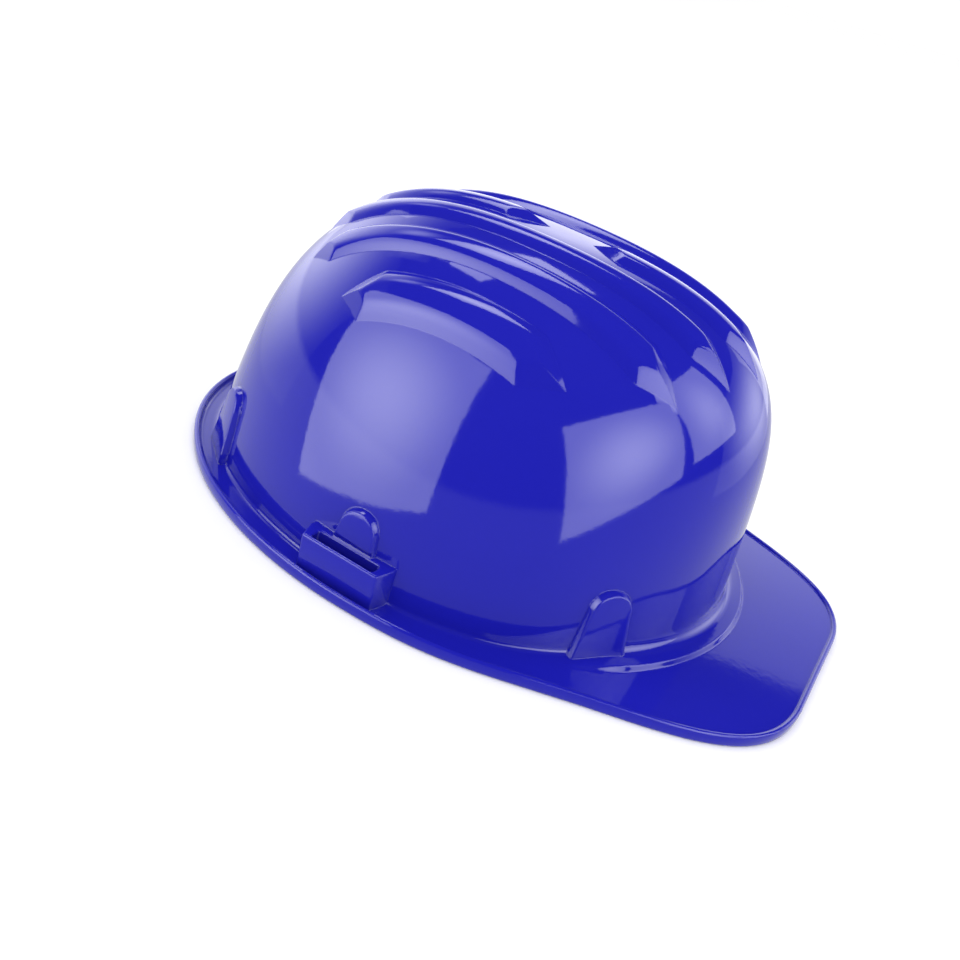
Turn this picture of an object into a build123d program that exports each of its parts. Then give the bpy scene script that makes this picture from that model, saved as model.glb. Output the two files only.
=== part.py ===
"""Industrial hard hat: ribbed moulded shell, six-point webbing harness and swing-down ratchet nape.

Frame: +Z up, the peak points to -Y and +X is the wearer's left.  Z = 0 is the underside of the
rim, and the origin is the middle of the rim's length and width.  Millimetres.
"""
import os
from math import cos, pi, radians, sin

from build123d import *

# ---------------------------------------------------------------- driving dimensions
# Everything is laid out from the crown's widest section, which sits CROWN_Y behind the origin.
CROWN_Y = 11.0
HAT = Plane(origin=(0, CROWN_Y, 0))

# Crown: half ellipses in plan, each reach shrinking with height.
CROWN_SIDE = 94.4            # half width at the rim
CROWN_FRONT = 110.5          # widest section to the forehead
CROWN_REAR = 124.5           # widest section to the nape
CROWN_HEIGHT = 121.8
SIDE_LEAN, SIDE_POWER = 0.10, 2.5
FRONT_LEAN, FRONT_POWER = 0.08, 5.8
REAR_LEAN, REAR_POWER = 0.20, 3.9
CROWN_ROUNDING = 2.8
WALL = 2.4
LOFT_LEVELS, LOFT_TOP = 10, 0.9995

# A cut or a boss runs this far past the face it meets; a through cut in a thin wall is longer.
OVERLAP, THROUGH = 1.0, 10.0
# Room between parts that slide or turn on each other, and round a pin.
SLIDE_GAP, RUNNING_GAP = 0.3, 0.06

# Brim: gutter round the sides and back, flat peak in front.
BRIM_SIDE = 105.8
BRIM_REAR = 133.0
PEAK_REACH = 155.0
PEAK_HALF_WIDTH = 26.0       # straight front edge
PEAK_CORNER = 54.5           # length and width of the sweep round each corner
PEAK_SLANT = 19.4            # degrees that the peak's side runs inwards
SIDE_HANDLE, CORNER_HANDLE = 45.4, 33.0
LIP_WIDTH, LIP_HEIGHT = 2.2, 4.8
GUTTER_FLOOR = 2.4
PEAK_TOP = 3.8
PEAK_ROOT = -70.0            # the gutter ends and the peak starts here

# Ridges along the crown: reach to the front and to the back for each distance from the middle.
RIDGE_PITCH, RIDGE_WIDTH, RIDGE_HEIGHT, RIDGE_POINT = 20.1, 13.0, 2.8, 12.0
RIDGE_REACHES = [(89.5, 86.4), (84.8, 87.4), (74.8, 79.4), (42.9, 49.7)]
RIDGE_GAP = (-14.0, 4.5)     # the middle ridge stops here, either side of the crown's top
RIDGE_BASE = 55.0

# Six pockets for the harness keys, by their angle on the crown's plan (0 is the side).
POCKET_ANGLES = {"front": -50.0, "side": 1.4, "rear": 46.3}
POCKET_WIDTH, POCKET_HEIGHT, POCKET_TOP_RADIUS = 23.0, 31.0, 8.0
POCKET_FOOT, POCKET_PROUD, POCKET_TILT = 1.0, 2.8, 6.0
SLEEVE_WIDTH, SLEEVE_DEPTH, SLEEVE_HEIGHT = 14.4, 2.4, 24.0
SLEEVE_INSET, SLEEVE_BOSS = 2.2, 4.8          # inwards from the wall's foot
BOSS_FOOT, BOSS_TOP, BOSS_RIM, BOSS_CORNER = 0.8, 27.0, 2.0, 1.5

# Accessory slots in the sides of the brim.
SLOT_Y = 3.2
SLOT_BOX_LENGTH, SLOT_BOX_DEPTH, SLOT_BOX_FACE, SLOT_BOX_TOP = 32.0, 16.0, 101.4, 16.8
SLOT_LENGTH, SLOT_INNER, SLOT_OUTER = 27.0, 95.0, 99.6

# Keys: a tongue in the pocket, a neck under the wall and an upright plate inside.
TONGUE_WIDTH, TONGUE_THICKNESS, TONGUE_TOP, TONGUE_CORNER = 13.6, 2.0, 22.0, 0.9
KEY_FLOOR, NECK_TOP, NECK_WIDTH = 1.2, 4.2, 11.6
PLATE_WIDTH, PLATE_TOP, PLATE_CORNER = 24.0, 27.0, 2.5
PLATE_OUTER, PLATE_INNER = 8.6, 11.0          # inwards from the wall's foot
NOTCH_REACH, NOTCH_ROOM = 6.4, 1.5
WEB_WIDTH, WEB_THICKNESS = 19.0, 1.3
WEB_SLOT_LOW, WEB_SLOT_HIGH, WEB_SLOT_WIDTH = 18.0, 21.0, 20.5
PEG_RADIUS, PEG_Z, PEG_LENGTH, PEG_ROOM = 2.5, 9.0, 9.0, 1.0

# Crown straps: half ellipses of webbing, crossing in three layers.
STRAP_FOOT, STRAP_SHOULDER = 14.0, 26.0
STRAP_RISE = 60.0
STRAP_LAYER = 2.2
STRAPS = [
    ("crown_strap_side", ("side", 1), ("side", -1)),
    ("crown_strap_diagonal_a", ("front", 1), ("rear", -1)),
    ("crown_strap_diagonal_b", ("front", -1), ("rear", 1)),
]

# Headband and sweatband.
BAND_SIDE, BAND_FRONT, BAND_THICKNESS = 77.5, 95.0, 1.4
BAND_LOW, BAND_HIGH = 5.0, 33.0
BAND_TAIL = 19.0
SWEAT_THICKNESS, SWEAT_TAIL = 3.2, -4.0
SWEAT_LOW, SWEAT_HIGH = 3.5, 35.0

# Swinging nape cradle, stowed level inside the shell.
PIVOT_Y, PIVOT_Z, PIVOT_RADIUS = 13.0, 20.0, 2.5
PIVOT_HEAD_X, PIVOT_HEAD_RADIUS, PIVOT_HEAD = 73.3, 4.5, 1.2
ARM_THICKNESS, ARM_HEIGHT, ARM_X = 1.8, 15.0, 78.8
ARM_Y, ARM_BEND_X, ARM_END_X = 88.1, 36.0, 28.0
ARM_SWEEP, ARM_TURNS = 95.0, (radians(25), radians(42), radians(56))
ARM_RIVET_X, ARM_RIVET_RADIUS, ARM_RIVET_HEAD_RADIUS, ARM_RIVET_HEAD = 32.0, 1.6, 3.2, 1.0

# Ratchet housing, racks and knob; each Y is measured from the widest section to the rear.
HOUSING_Y = 89.0             # inner face
HOUSING_HALF, HOUSING_HEIGHT, HOUSING_CORNER = 36.0, 28.0, 5.0
BASE_PLATE, RAIL_HALF = 2.0, 30.0
COVER_Y, COVER_THICKNESS = 95.8, 2.2
RACK_LENGTH, RACK_HEIGHT, RACK_THICKNESS = 47.0, 19.2, 1.5
RACK_INNER_END = 19.0        # past the middle
RACK_LAYERS = {"left": 91.4, "right": 93.3}
RACK_RAIL, RACK_CLEARANCE = 3.2, 0.5
RACK_TEETH, RACK_PHASE = 6, 0.5
RACK_TOOTH_ROOT, RACK_TOOTH_TIP = 1.06, 0.26          # half widths
PINION_PITCH, PINION_TEETH = 5.0, 10
TOOTH_ADDENDUM, TOOTH_DEDENDUM = 0.9, 1.25
TOOTH_ROOT, TOOTH_HALF, TOOTH_TIP = 0.95, 0.58, 0.22   # half widths
TOOTH_SINK = 0.5
PINION_LOW, PINION_GAP = 91.3, 0.4
SHAFT_RADIUS = 4.0
KNOB_RADIUS, KNOB_Y, KNOB_END, KNOB_EDGE = 18.0, 98.4, 107.4, 0.8
KNOB_DRIVE_END, KNOB_SKIRT_TOP = 104.0, 101.6
KNOB_LOBES, LOBE_RADIUS, LOBE_CENTRE = 14, 3.0, 19.6
KNOB_SCREW_HEAD, KNOB_SCREW_DEPTH, KNOB_SCREW_SUNK = 3.4, 2.0, 0.6
DRIVER_SLOT, DRIVER_REACH = 1.0, 6.0
NOTCH_RING_INNER, NOTCH_RING_OUTER, NOTCH_RING_END = 12.6, 14.6, 101.2
NOTCH_COUNT, NOTCH_SIZE, RING_ROOM = 30, 0.8, 0.4
DETENT_RADIUS, DETENT_ARC, DETENT_WIDTH = 10.6, 110.0, 1.0
DETENT_SPOKE, DETENT_HUB, DETENT_THICKNESS = 1.6, 5.4, 1.6
SCREW_X, SCREW_Z, SCREW_RADIUS, SCREW_BOSS = 31.5, 11.8, 1.0, 1.9
SCREW_HOLE, SCREW_LENGTH, SCREW_HEAD_RADIUS, SCREW_HEAD = 4.5, 6.0, 2.1, 1.2
SCREW_PLACES = [(x, z) for x in (-SCREW_X, SCREW_X) for z in (-SCREW_Z, SCREW_Z)]
NAPE_PAD_HALF, NAPE_PAD_HEIGHT, NAPE_PAD_THICKNESS = 25.0, 30.0, 5.0
NAPE_PAD_CORNER, NAPE_PAD_EDGE = 6.0, 1.6


# ---------------------------------------------------------------- shared geometry
def wall_reach(z, reach, lean, power, inset):
    """Distance from the crown's axis to its wall at height z, the whole skin moved in by inset."""
    height = CROWN_HEIGHT - inset
    return (reach - inset - lean * z) * (1 - (z / height) ** power) ** (1 / CROWN_ROUNDING)


def dome(inset, foot):
    """The crown as a solid, from z = foot to just under its top, moved in by inset."""
    top = (CROWN_HEIGHT - inset) * LOFT_TOP
    with BuildPart() as solid:
        for level in range(LOFT_LEVELS):
            z = foot + (top - foot) * sin(radians(90 * level / (LOFT_LEVELS - 1)))
            level_z = max(z, 0)
            side = wall_reach(level_z, CROWN_SIDE, SIDE_LEAN, SIDE_POWER, inset)
            front = wall_reach(level_z, CROWN_FRONT, FRONT_LEAN, FRONT_POWER, inset)
            rear = wall_reach(level_z, CROWN_REAR, REAR_LEAN, REAR_POWER, inset)
            with BuildSketch(HAT.offset(z)):
                with BuildLine():
                    EllipticalCenterArc((0, 0), side, rear, start_angle=0, arc_size=180)
                    EllipticalCenterArc((0, 0), side, front, start_angle=180, arc_size=180)
                make_face()
        loft()
    return solid.part


def brim_face(inset=0):
    """The brim's outline from above, round behind with a flat peak in front, drawn inset inwards."""
    slant = radians(PEAK_SLANT)
    side_x, rear_y, front_y = BRIM_SIDE - inset, BRIM_REAR - inset, inset - PEAK_REACH
    corner_x = PEAK_HALF_WIDTH + PEAK_CORNER - inset * cos(slant)
    corner_y = PEAK_CORNER - PEAK_REACH + inset * sin(slant)
    run_x, run_y = -sin(slant), -cos(slant)
    with BuildSketch() as outline:
        with BuildLine():
            EllipticalCenterArc((0, 0), side_x, rear_y, start_angle=0, arc_size=180)
            for side in (1, -1):
                Bezier(
                    (side * side_x, 0),
                    (side * side_x, -SIDE_HANDLE),
                    (side * (corner_x - SIDE_HANDLE * run_x), corner_y - SIDE_HANDLE * run_y),
                    (side * corner_x, corner_y),
                )
                Bezier(
                    (side * corner_x, corner_y),
                    (side * (corner_x + CORNER_HANDLE * run_x), corner_y + CORNER_HANDLE * run_y),
                    (side * (PEAK_HALF_WIDTH + CORNER_HANDLE), front_y),
                    (side * PEAK_HALF_WIDTH, front_y),
                )
            Line((PEAK_HALF_WIDTH, front_y), (-PEAK_HALF_WIDTH, front_y))
        make_face()
    return outline.sketch_local


def pocket_station(corner, side):
    """Foot of the wall at a pocket and its outward direction, in the row frame."""
    angle = radians(POCKET_ANGLES[corner])
    length = CROWN_REAR if angle > 0 else CROWN_FRONT
    x, y = CROWN_SIDE * cos(angle), length * sin(angle)
    out = Vector(x / CROWN_SIDE**2, y / length**2, 0).normalized()
    return Vector(side * x, y + CROWN_Y, 0), Vector(side * out.X, out.Y, 0)


def pocket_plane(corner, side, tilt=0.0):
    """Plane at a pocket: local x runs along the wall, local y up, local z outwards."""
    foot, out = pocket_station(corner, side)
    along = Vector(0, 0, 1).cross(out)
    lean = radians(tilt)
    return Plane(origin=foot, x_dir=along, z_dir=out * cos(lean) + Vector(0, 0, sin(lean)))


def rear_plane(y):
    """Upright plane across the nape, y behind the widest section, facing the head."""
    return Plane(origin=(0, CROWN_Y + y, PIVOT_Z), x_dir=(1, 0, 0), z_dir=(0, -1, 0))


def side_plane(x, side):
    """Upright plane at a temple pivot, facing outwards on that side."""
    return Plane(origin=(side * x, CROWN_Y + PIVOT_Y, PIVOT_Z), x_dir=(0, side, 0), z_dir=(side, 0, 0))


def finish(part, name):
    part.label = name
    export_step(part, f"parts/{name}.step")


os.makedirs("parts", exist_ok=True)
SIDES = {"left": 1, "right": -1}

# ---------------------------------------------------------------- shell
outer_dome = dome(0, 0)
inner_dome = dome(WALL, -OVERLAP)
ridge_envelope = dome(-RIDGE_HEIGHT, 0)
brim_outline = brim_face()
brim_inside = brim_face(LIP_WIDTH)

with BuildPart() as ridges:
    with BuildSketch(HAT.offset(RIDGE_BASE)):
        for index in range(-3, 4):
            front_reach, rear_reach = RIDGE_REACHES[abs(index)]
            spans = [(-front_reach, rear_reach)]
            if index == 0:
                spans = [(-front_reach, RIDGE_GAP[0]), (RIDGE_GAP[1], rear_reach)]
            middle, half = index * RIDGE_PITCH, RIDGE_WIDTH / 2
            for start, end in spans:
                with BuildLine():
                    Polyline(
                        (middle, start),
                        (middle + half, start + RIDGE_POINT),
                        (middle + half, end - RIDGE_POINT / 2),
                        (middle, end),
                        (middle - half, end - RIDGE_POINT / 2),
                        (middle - half, start + RIDGE_POINT),
                        close=True,
                    )
                make_face()
    extrude(amount=CROWN_HEIGHT)
    add(ridge_envelope, mode=Mode.INTERSECT)

with BuildPart() as shell:
    with BuildSketch(HAT):
        add(brim_outline)
    extrude(amount=LIP_HEIGHT)
    with BuildSketch(HAT.offset(PEAK_TOP)):
        add(brim_inside)
    extrude(amount=LIP_HEIGHT, mode=Mode.SUBTRACT)
    with BuildSketch(HAT.offset(GUTTER_FLOOR)):
        add(brim_inside)
        with Locations((0, PEAK_ROOT - BRIM_REAR)):
            Rectangle(3 * BRIM_SIDE, 2 * BRIM_REAR, mode=Mode.SUBTRACT)
    extrude(amount=LIP_HEIGHT, mode=Mode.SUBTRACT)
    add(outer_dome)
    add(ridges.part)
    for side in SIDES.values():
        # accessory slot box on the gutter's floor
        with BuildSketch(HAT):
            with Locations((side * (SLOT_BOX_FACE - SLOT_BOX_DEPTH / 2), SLOT_Y)):
                Rectangle(SLOT_BOX_DEPTH, SLOT_BOX_LENGTH)
        extrude(amount=SLOT_BOX_TOP)
        # raised arches over the key pockets
        for corner in POCKET_ANGLES:
            with BuildSketch(pocket_plane(corner, side, POCKET_TILT).offset(-WALL)):
                with BuildLine():
                    Polyline(
                        (-POCKET_TOP_RADIUS, POCKET_HEIGHT - POCKET_TOP_RADIUS),
                        (-POCKET_WIDTH / 2, POCKET_FOOT),
                        (POCKET_WIDTH / 2, POCKET_FOOT),
                        (POCKET_TOP_RADIUS, POCKET_HEIGHT - POCKET_TOP_RADIUS),
                    )
                    ThreePointArc(
                        (POCKET_TOP_RADIUS, POCKET_HEIGHT - POCKET_TOP_RADIUS),
                        (0, POCKET_HEIGHT),
                        (-POCKET_TOP_RADIUS, POCKET_HEIGHT - POCKET_TOP_RADIUS),
                    )
                make_face()
            extrude(amount=WALL + POCKET_PROUD)
    add(inner_dome, mode=Mode.SUBTRACT)
    for side in SIDES.values():
        with BuildSketch(HAT.offset(-OVERLAP)):
            with Locations((side * (SLOT_INNER + SLOT_OUTER) / 2, SLOT_Y)):
                Rectangle(SLOT_OUTER - SLOT_INNER, SLOT_LENGTH)
        extrude(amount=SLOT_BOX_TOP + 2 * OVERLAP, mode=Mode.SUBTRACT)
        for corner in POCKET_ANGLES:
            leaning = pocket_plane(corner, side, POCKET_TILT)
            # boss inside the wall, with the sleeve for the key's tongue
            with BuildSketch(leaning.offset(-SLEEVE_BOSS)):
                with Locations((0, (BOSS_FOOT + BOSS_TOP) / 2)):
                    RectangleRounded(SLEEVE_WIDTH + 2 * BOSS_RIM, BOSS_TOP - BOSS_FOOT, BOSS_CORNER)
            extrude(amount=SLEEVE_BOSS - OVERLAP)
            with BuildSketch(leaning.offset(-SLEEVE_INSET - SLEEVE_DEPTH / 2)):
                with Locations((0, SLEEVE_HEIGHT / 2 - OVERLAP)):
                    Rectangle(SLEEVE_WIDTH, SLEEVE_HEIGHT + 2 * OVERLAP)
            extrude(amount=SLEEVE_DEPTH, mode=Mode.SUBTRACT)
            # notch that lets the key's neck in under the boss
            with BuildSketch(pocket_plane(corner, side).offset(-NOTCH_REACH)):
                with Locations((0, NECK_TOP / 2)):
                    Rectangle(SLEEVE_WIDTH, NECK_TOP + 2 * NOTCH_ROOM)
            extrude(amount=NOTCH_REACH - OVERLAP, mode=Mode.SUBTRACT)
finish(shell.part, "shell")

# ---------------------------------------------------------------- harness keys
for side_name, side in SIDES.items():
    for corner in POCKET_ANGLES:
        station = pocket_plane(corner, side)
        with BuildPart() as key:
            leaning = pocket_plane(corner, side, POCKET_TILT)
            with BuildSketch(leaning.offset(-SLEEVE_INSET - TONGUE_THICKNESS / 2)):
                with Locations((0, (KEY_FLOOR + TONGUE_TOP) / 2)):
                    RectangleRounded(TONGUE_WIDTH, TONGUE_TOP - KEY_FLOOR, TONGUE_CORNER)
            extrude(amount=TONGUE_THICKNESS)
            with BuildSketch(station.offset(-PLATE_INNER)):
                with Locations((0, (KEY_FLOOR + NECK_TOP) / 2)):
                    Rectangle(NECK_WIDTH, NECK_TOP - KEY_FLOOR)
            extrude(amount=PLATE_INNER - SLEEVE_INSET)
            with BuildSketch(station.offset(-PLATE_INNER)):
                with Locations((0, (KEY_FLOOR + PLATE_TOP) / 2)):
                    RectangleRounded(PLATE_WIDTH, PLATE_TOP - KEY_FLOOR, PLATE_CORNER)
                with Locations((0, (WEB_SLOT_LOW + WEB_SLOT_HIGH) / 2)):
                    SlotOverall(WEB_SLOT_WIDTH, WEB_SLOT_HIGH - WEB_SLOT_LOW, mode=Mode.SUBTRACT)
            extrude(amount=PLATE_INNER - PLATE_OUTER)
            if corner != "rear":
                # peg that the headband buttons on to
                with BuildSketch(station.offset(-PLATE_INNER)):
                    with Locations((0, PEG_Z)):
                        Circle(PEG_RADIUS)
                extrude(amount=-PEG_LENGTH)
        finish(key.part, f"key_{corner}_{side_name}")

# ---------------------------------------------------------------- crown straps
for layer, (name, first, second) in enumerate(STRAPS):
    first_foot, first_out = pocket_station(*first)
    second_foot, second_out = pocket_station(*second)
    line = (second_foot - first_foot).normalized()
    ends = []
    for foot, out in ((first_foot, first_out), (second_foot, second_out)):
        # the strap turns a little to face its key, so its edges need room
        turn = abs(out.cross(line).Z) / abs(out.dot(line))
        ends.append(foot - out * (PLATE_INNER + WEB_THICKNESS / 2 + PLATE_WIDTH / 2 * turn))
    across = ends[1] - ends[0]
    middle = (ends[0] + ends[1]) * 0.5 + Vector(0, 0, STRAP_SHOULDER)
    strap_plane = Plane(origin=middle, x_dir=across, z_dir=across.cross(Vector(0, 0, 1)))
    reach = across.length / 2
    rise = STRAP_RISE + layer * STRAP_LAYER
    leg = STRAP_SHOULDER - STRAP_FOOT
    half = WEB_THICKNESS / 2
    with BuildPart() as strap:
        with BuildSketch(strap_plane):
            Ellipse(reach + half, rise + half)
            Ellipse(reach - half, rise - half, mode=Mode.SUBTRACT)
            with Locations((0, -rise)):
                Rectangle(3 * reach, 2 * rise, mode=Mode.SUBTRACT)
            with Locations((-reach, -leg / 2), (reach, -leg / 2)):
                Rectangle(WEB_THICKNESS, leg)
        extrude(amount=WEB_WIDTH / 2, both=True)
    finish(strap.part, name)

# ---------------------------------------------------------------- headband and sweatband
with BuildPart() as headband:
    with BuildSketch(HAT.offset(BAND_LOW)):
        Ellipse(BAND_SIDE, BAND_FRONT)
        Ellipse(BAND_SIDE - BAND_THICKNESS, BAND_FRONT - BAND_THICKNESS, mode=Mode.SUBTRACT)
        with Locations((0, BAND_TAIL + BAND_FRONT)):
            Rectangle(3 * BAND_SIDE, 2 * BAND_FRONT, mode=Mode.SUBTRACT)
    extrude(amount=BAND_HIGH - BAND_LOW)
    for side in SIDES.values():
        for corner in ("front", "side"):
            with BuildSketch(pocket_plane(corner, side).offset(-PLATE_INNER)):
                with Locations((0, PEG_Z)):
                    Circle(PEG_RADIUS + RUNNING_GAP)
            extrude(amount=-PEG_LENGTH, mode=Mode.SUBTRACT)
        with BuildSketch(side_plane(BAND_SIDE - THROUGH / 2, side)):
            Circle(PIVOT_RADIUS)
        extrude(amount=THROUGH, mode=Mode.SUBTRACT)
finish(headband.part, "headband")

with BuildPart() as sweatband:
    inner_side, inner_front = BAND_SIDE - BAND_THICKNESS, BAND_FRONT - BAND_THICKNESS
    with BuildSketch(HAT.offset(SWEAT_LOW)):
        Ellipse(inner_side, inner_front)
        Ellipse(inner_side - SWEAT_THICKNESS, inner_front - SWEAT_THICKNESS, mode=Mode.SUBTRACT)
        with Locations((0, SWEAT_TAIL + BAND_FRONT)):
            Rectangle(3 * BAND_SIDE, 2 * BAND_FRONT, mode=Mode.SUBTRACT)
    extrude(amount=SWEAT_HIGH - SWEAT_LOW)
    for side in SIDES.values():
        for corner in ("front", "side"):
            # clearance behind each headband peg
            with BuildSketch(pocket_plane(corner, side).offset(-PLATE_INNER)):
                with Locations((0, PEG_Z)):
                    Circle(PEG_RADIUS + PEG_ROOM)
            extrude(amount=-PEG_LENGTH - PEG_ROOM, mode=Mode.SUBTRACT)
finish(sweatband.part, "sweatband")

# ---------------------------------------------------------------- nape arms and their pivots
for side_name, side in SIDES.items():
    with BuildPart() as pivot:
        with BuildSketch(side_plane(PIVOT_HEAD_X, side)):
            Circle(PIVOT_RADIUS)
        extrude(amount=ARM_X + ARM_THICKNESS / 2 + SLIDE_GAP - PIVOT_HEAD_X)
        with BuildSketch(side_plane(PIVOT_HEAD_X, side)):
            Circle(PIVOT_HEAD_RADIUS)
        extrude(amount=PIVOT_HEAD)
        with BuildSketch(side_plane(ARM_X + ARM_THICKNESS / 2 + SLIDE_GAP, side)):
            Circle(PIVOT_HEAD_RADIUS)
        extrude(amount=PIVOT_HEAD)
    finish(pivot.part, f"pivot_rivet_{side_name}")

    with BuildPart() as arm:
        with BuildSketch(HAT.offset(PIVOT_Z - ARM_HEIGHT / 2)):
            with BuildLine():
                Spline(
                    (side * ARM_X, PIVOT_Y),
                    *[(side * ARM_X * cos(turn), ARM_SWEEP * sin(turn)) for turn in ARM_TURNS],
                    (side * ARM_BEND_X, ARM_Y),
                    tangents=[(0, 1), (-side, 0)],
                )
                Line((side * ARM_BEND_X, ARM_Y), (side * ARM_END_X, ARM_Y))
            trace(line_width=ARM_THICKNESS)
        extrude(amount=ARM_HEIGHT)
        with BuildSketch(side_plane(ARM_X - ARM_THICKNESS / 2, side)):
            Circle(ARM_HEIGHT / 2)
        extrude(amount=ARM_THICKNESS)
        with BuildSketch(side_plane(ARM_X - THROUGH / 2, side)):
            Circle(PIVOT_RADIUS + RUNNING_GAP)
        extrude(amount=THROUGH, mode=Mode.SUBTRACT)
        with BuildSketch(rear_plane(ARM_Y + THROUGH / 2)):
            with Locations((side * ARM_RIVET_X, 0)):
                Circle(ARM_RIVET_RADIUS)
        extrude(amount=THROUGH, mode=Mode.SUBTRACT)
    finish(arm.part, f"nape_arm_{side_name}")

with BuildPart() as arm_rivets:
    for side in SIDES.values():
        with BuildSketch(rear_plane(HOUSING_Y + BASE_PLATE)):
            with Locations((side * ARM_RIVET_X, 0)):
                Circle(ARM_RIVET_RADIUS)
        extrude(amount=HOUSING_Y + BASE_PLATE - (ARM_Y - ARM_THICKNESS / 2))
        with BuildSketch(rear_plane(ARM_Y - ARM_THICKNESS / 2)):
            with Locations((side * ARM_RIVET_X, 0)):
                Circle(ARM_RIVET_HEAD_RADIUS)
        extrude(amount=ARM_RIVET_HEAD)
finish(arm_rivets.part, "arm_rivets")

# ---------------------------------------------------------------- ratchet housing
with BuildPart() as base:
    with BuildSketch(rear_plane(HOUSING_Y + BASE_PLATE)):
        RectangleRounded(2 * HOUSING_HALF, HOUSING_HEIGHT, HOUSING_CORNER)
        with Locations((-ARM_RIVET_X, 0), (ARM_RIVET_X, 0)):
            Circle(ARM_RIVET_RADIUS, mode=Mode.SUBTRACT)
    extrude(amount=BASE_PLATE)
    rail = (HOUSING_HEIGHT - RACK_HEIGHT) / 2 - SLIDE_GAP
    rail_z = (HOUSING_HEIGHT - rail) / 2
    with BuildSketch(rear_plane(COVER_Y)):
        with Locations((0, rail_z), (0, -rail_z)):
            Rectangle(2 * RAIL_HALF, rail)
        with Locations(*SCREW_PLACES):
            Circle(SCREW_BOSS)
    extrude(amount=COVER_Y - HOUSING_Y - BASE_PLATE)
    with BuildSketch(rear_plane(COVER_Y)):
        with Locations(*SCREW_PLACES):
            Circle(SCREW_RADIUS)
    extrude(amount=SCREW_HOLE, mode=Mode.SUBTRACT)
finish(base.part, "ratchet_base")

with BuildPart() as cover:
    with BuildSketch(rear_plane(COVER_Y + COVER_THICKNESS)):
        RectangleRounded(2 * HOUSING_HALF, HOUSING_HEIGHT, HOUSING_CORNER)
        Circle(SHAFT_RADIUS + RUNNING_GAP, mode=Mode.SUBTRACT)
        with Locations(*SCREW_PLACES):
            Circle(SCREW_RADIUS, mode=Mode.SUBTRACT)
    extrude(amount=COVER_THICKNESS)
    # ring of ratchet notches under the knob
    with BuildSketch(rear_plane(NOTCH_RING_END)):
        Circle(NOTCH_RING_OUTER)
        Circle(NOTCH_RING_INNER, mode=Mode.SUBTRACT)
        with PolarLocations(NOTCH_RING_INNER, NOTCH_COUNT):
            RegularPolygon(NOTCH_SIZE, 3, mode=Mode.SUBTRACT)
    extrude(amount=NOTCH_RING_END - COVER_Y - COVER_THICKNESS)
finish(cover.part, "ratchet_cover")

with BuildPart() as screws:
    with BuildSketch(rear_plane(COVER_Y + COVER_THICKNESS)):
        with Locations(*SCREW_PLACES):
            Circle(SCREW_RADIUS)
    extrude(amount=SCREW_LENGTH)
    with BuildSketch(rear_plane(COVER_Y + COVER_THICKNESS + SCREW_HEAD)):
        with Locations(*SCREW_PLACES):
            Circle(SCREW_HEAD_RADIUS)
    extrude(amount=SCREW_HEAD)
finish(screws.part, "cover_screws")

with BuildPart() as nape_pad:
    with BuildSketch(rear_plane(HOUSING_Y)):
        RectangleRounded(2 * NAPE_PAD_HALF, NAPE_PAD_HEIGHT, NAPE_PAD_CORNER)
    extrude(amount=NAPE_PAD_THICKNESS)
    fillet(nape_pad.faces().sort_by(Axis.Y)[0].edges(), NAPE_PAD_EDGE)
finish(nape_pad.part, "nape_pad")

# ---------------------------------------------------------------- racks
tooth_pitch = 2 * pi * PINION_PITCH / PINION_TEETH
for side_name, side in SIDES.items():
    inner_end = -side * RACK_INNER_END
    outer_end = side * (RACK_LENGTH - RACK_INNER_END)
    slot_end = abs(inner_end) - RACK_RAIL
    toothed = side                              # the left rack has its teeth above the pinion
    root = PINION_PITCH + TOOTH_DEDENDUM
    plain = PINION_PITCH + TOOTH_ADDENDUM + RACK_CLEARANCE
    with BuildPart() as rack:
        with BuildSketch(rear_plane(RACK_LAYERS[side_name] + RACK_THICKNESS)):
            with Locations(((inner_end + outer_end) / 2, 0)):
                Rectangle(RACK_LENGTH, RACK_HEIGHT)
            with Locations((0, toothed * (root - plain) / 2)):
                Rectangle(2 * slot_end, root + plain, mode=Mode.SUBTRACT)
            for tooth in range(-RACK_TEETH, RACK_TEETH + 1):
                middle = (tooth + RACK_PHASE) * tooth_pitch
                if abs(middle) < slot_end - RACK_TOOTH_ROOT:
                    with BuildLine():
                        Polyline(
                            (middle - RACK_TOOTH_ROOT, toothed * (root + TOOTH_SINK)),
                            (middle - RACK_TOOTH_TIP, toothed * (PINION_PITCH - TOOTH_ADDENDUM)),
                            (middle + RACK_TOOTH_TIP, toothed * (PINION_PITCH - TOOTH_ADDENDUM)),
                            (middle + RACK_TOOTH_ROOT, toothed * (root + TOOTH_SINK)),
                            close=True,
                        )
                    make_face()
        extrude(amount=RACK_THICKNESS)
    finish(rack.part, f"rack_{side_name}")

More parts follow.
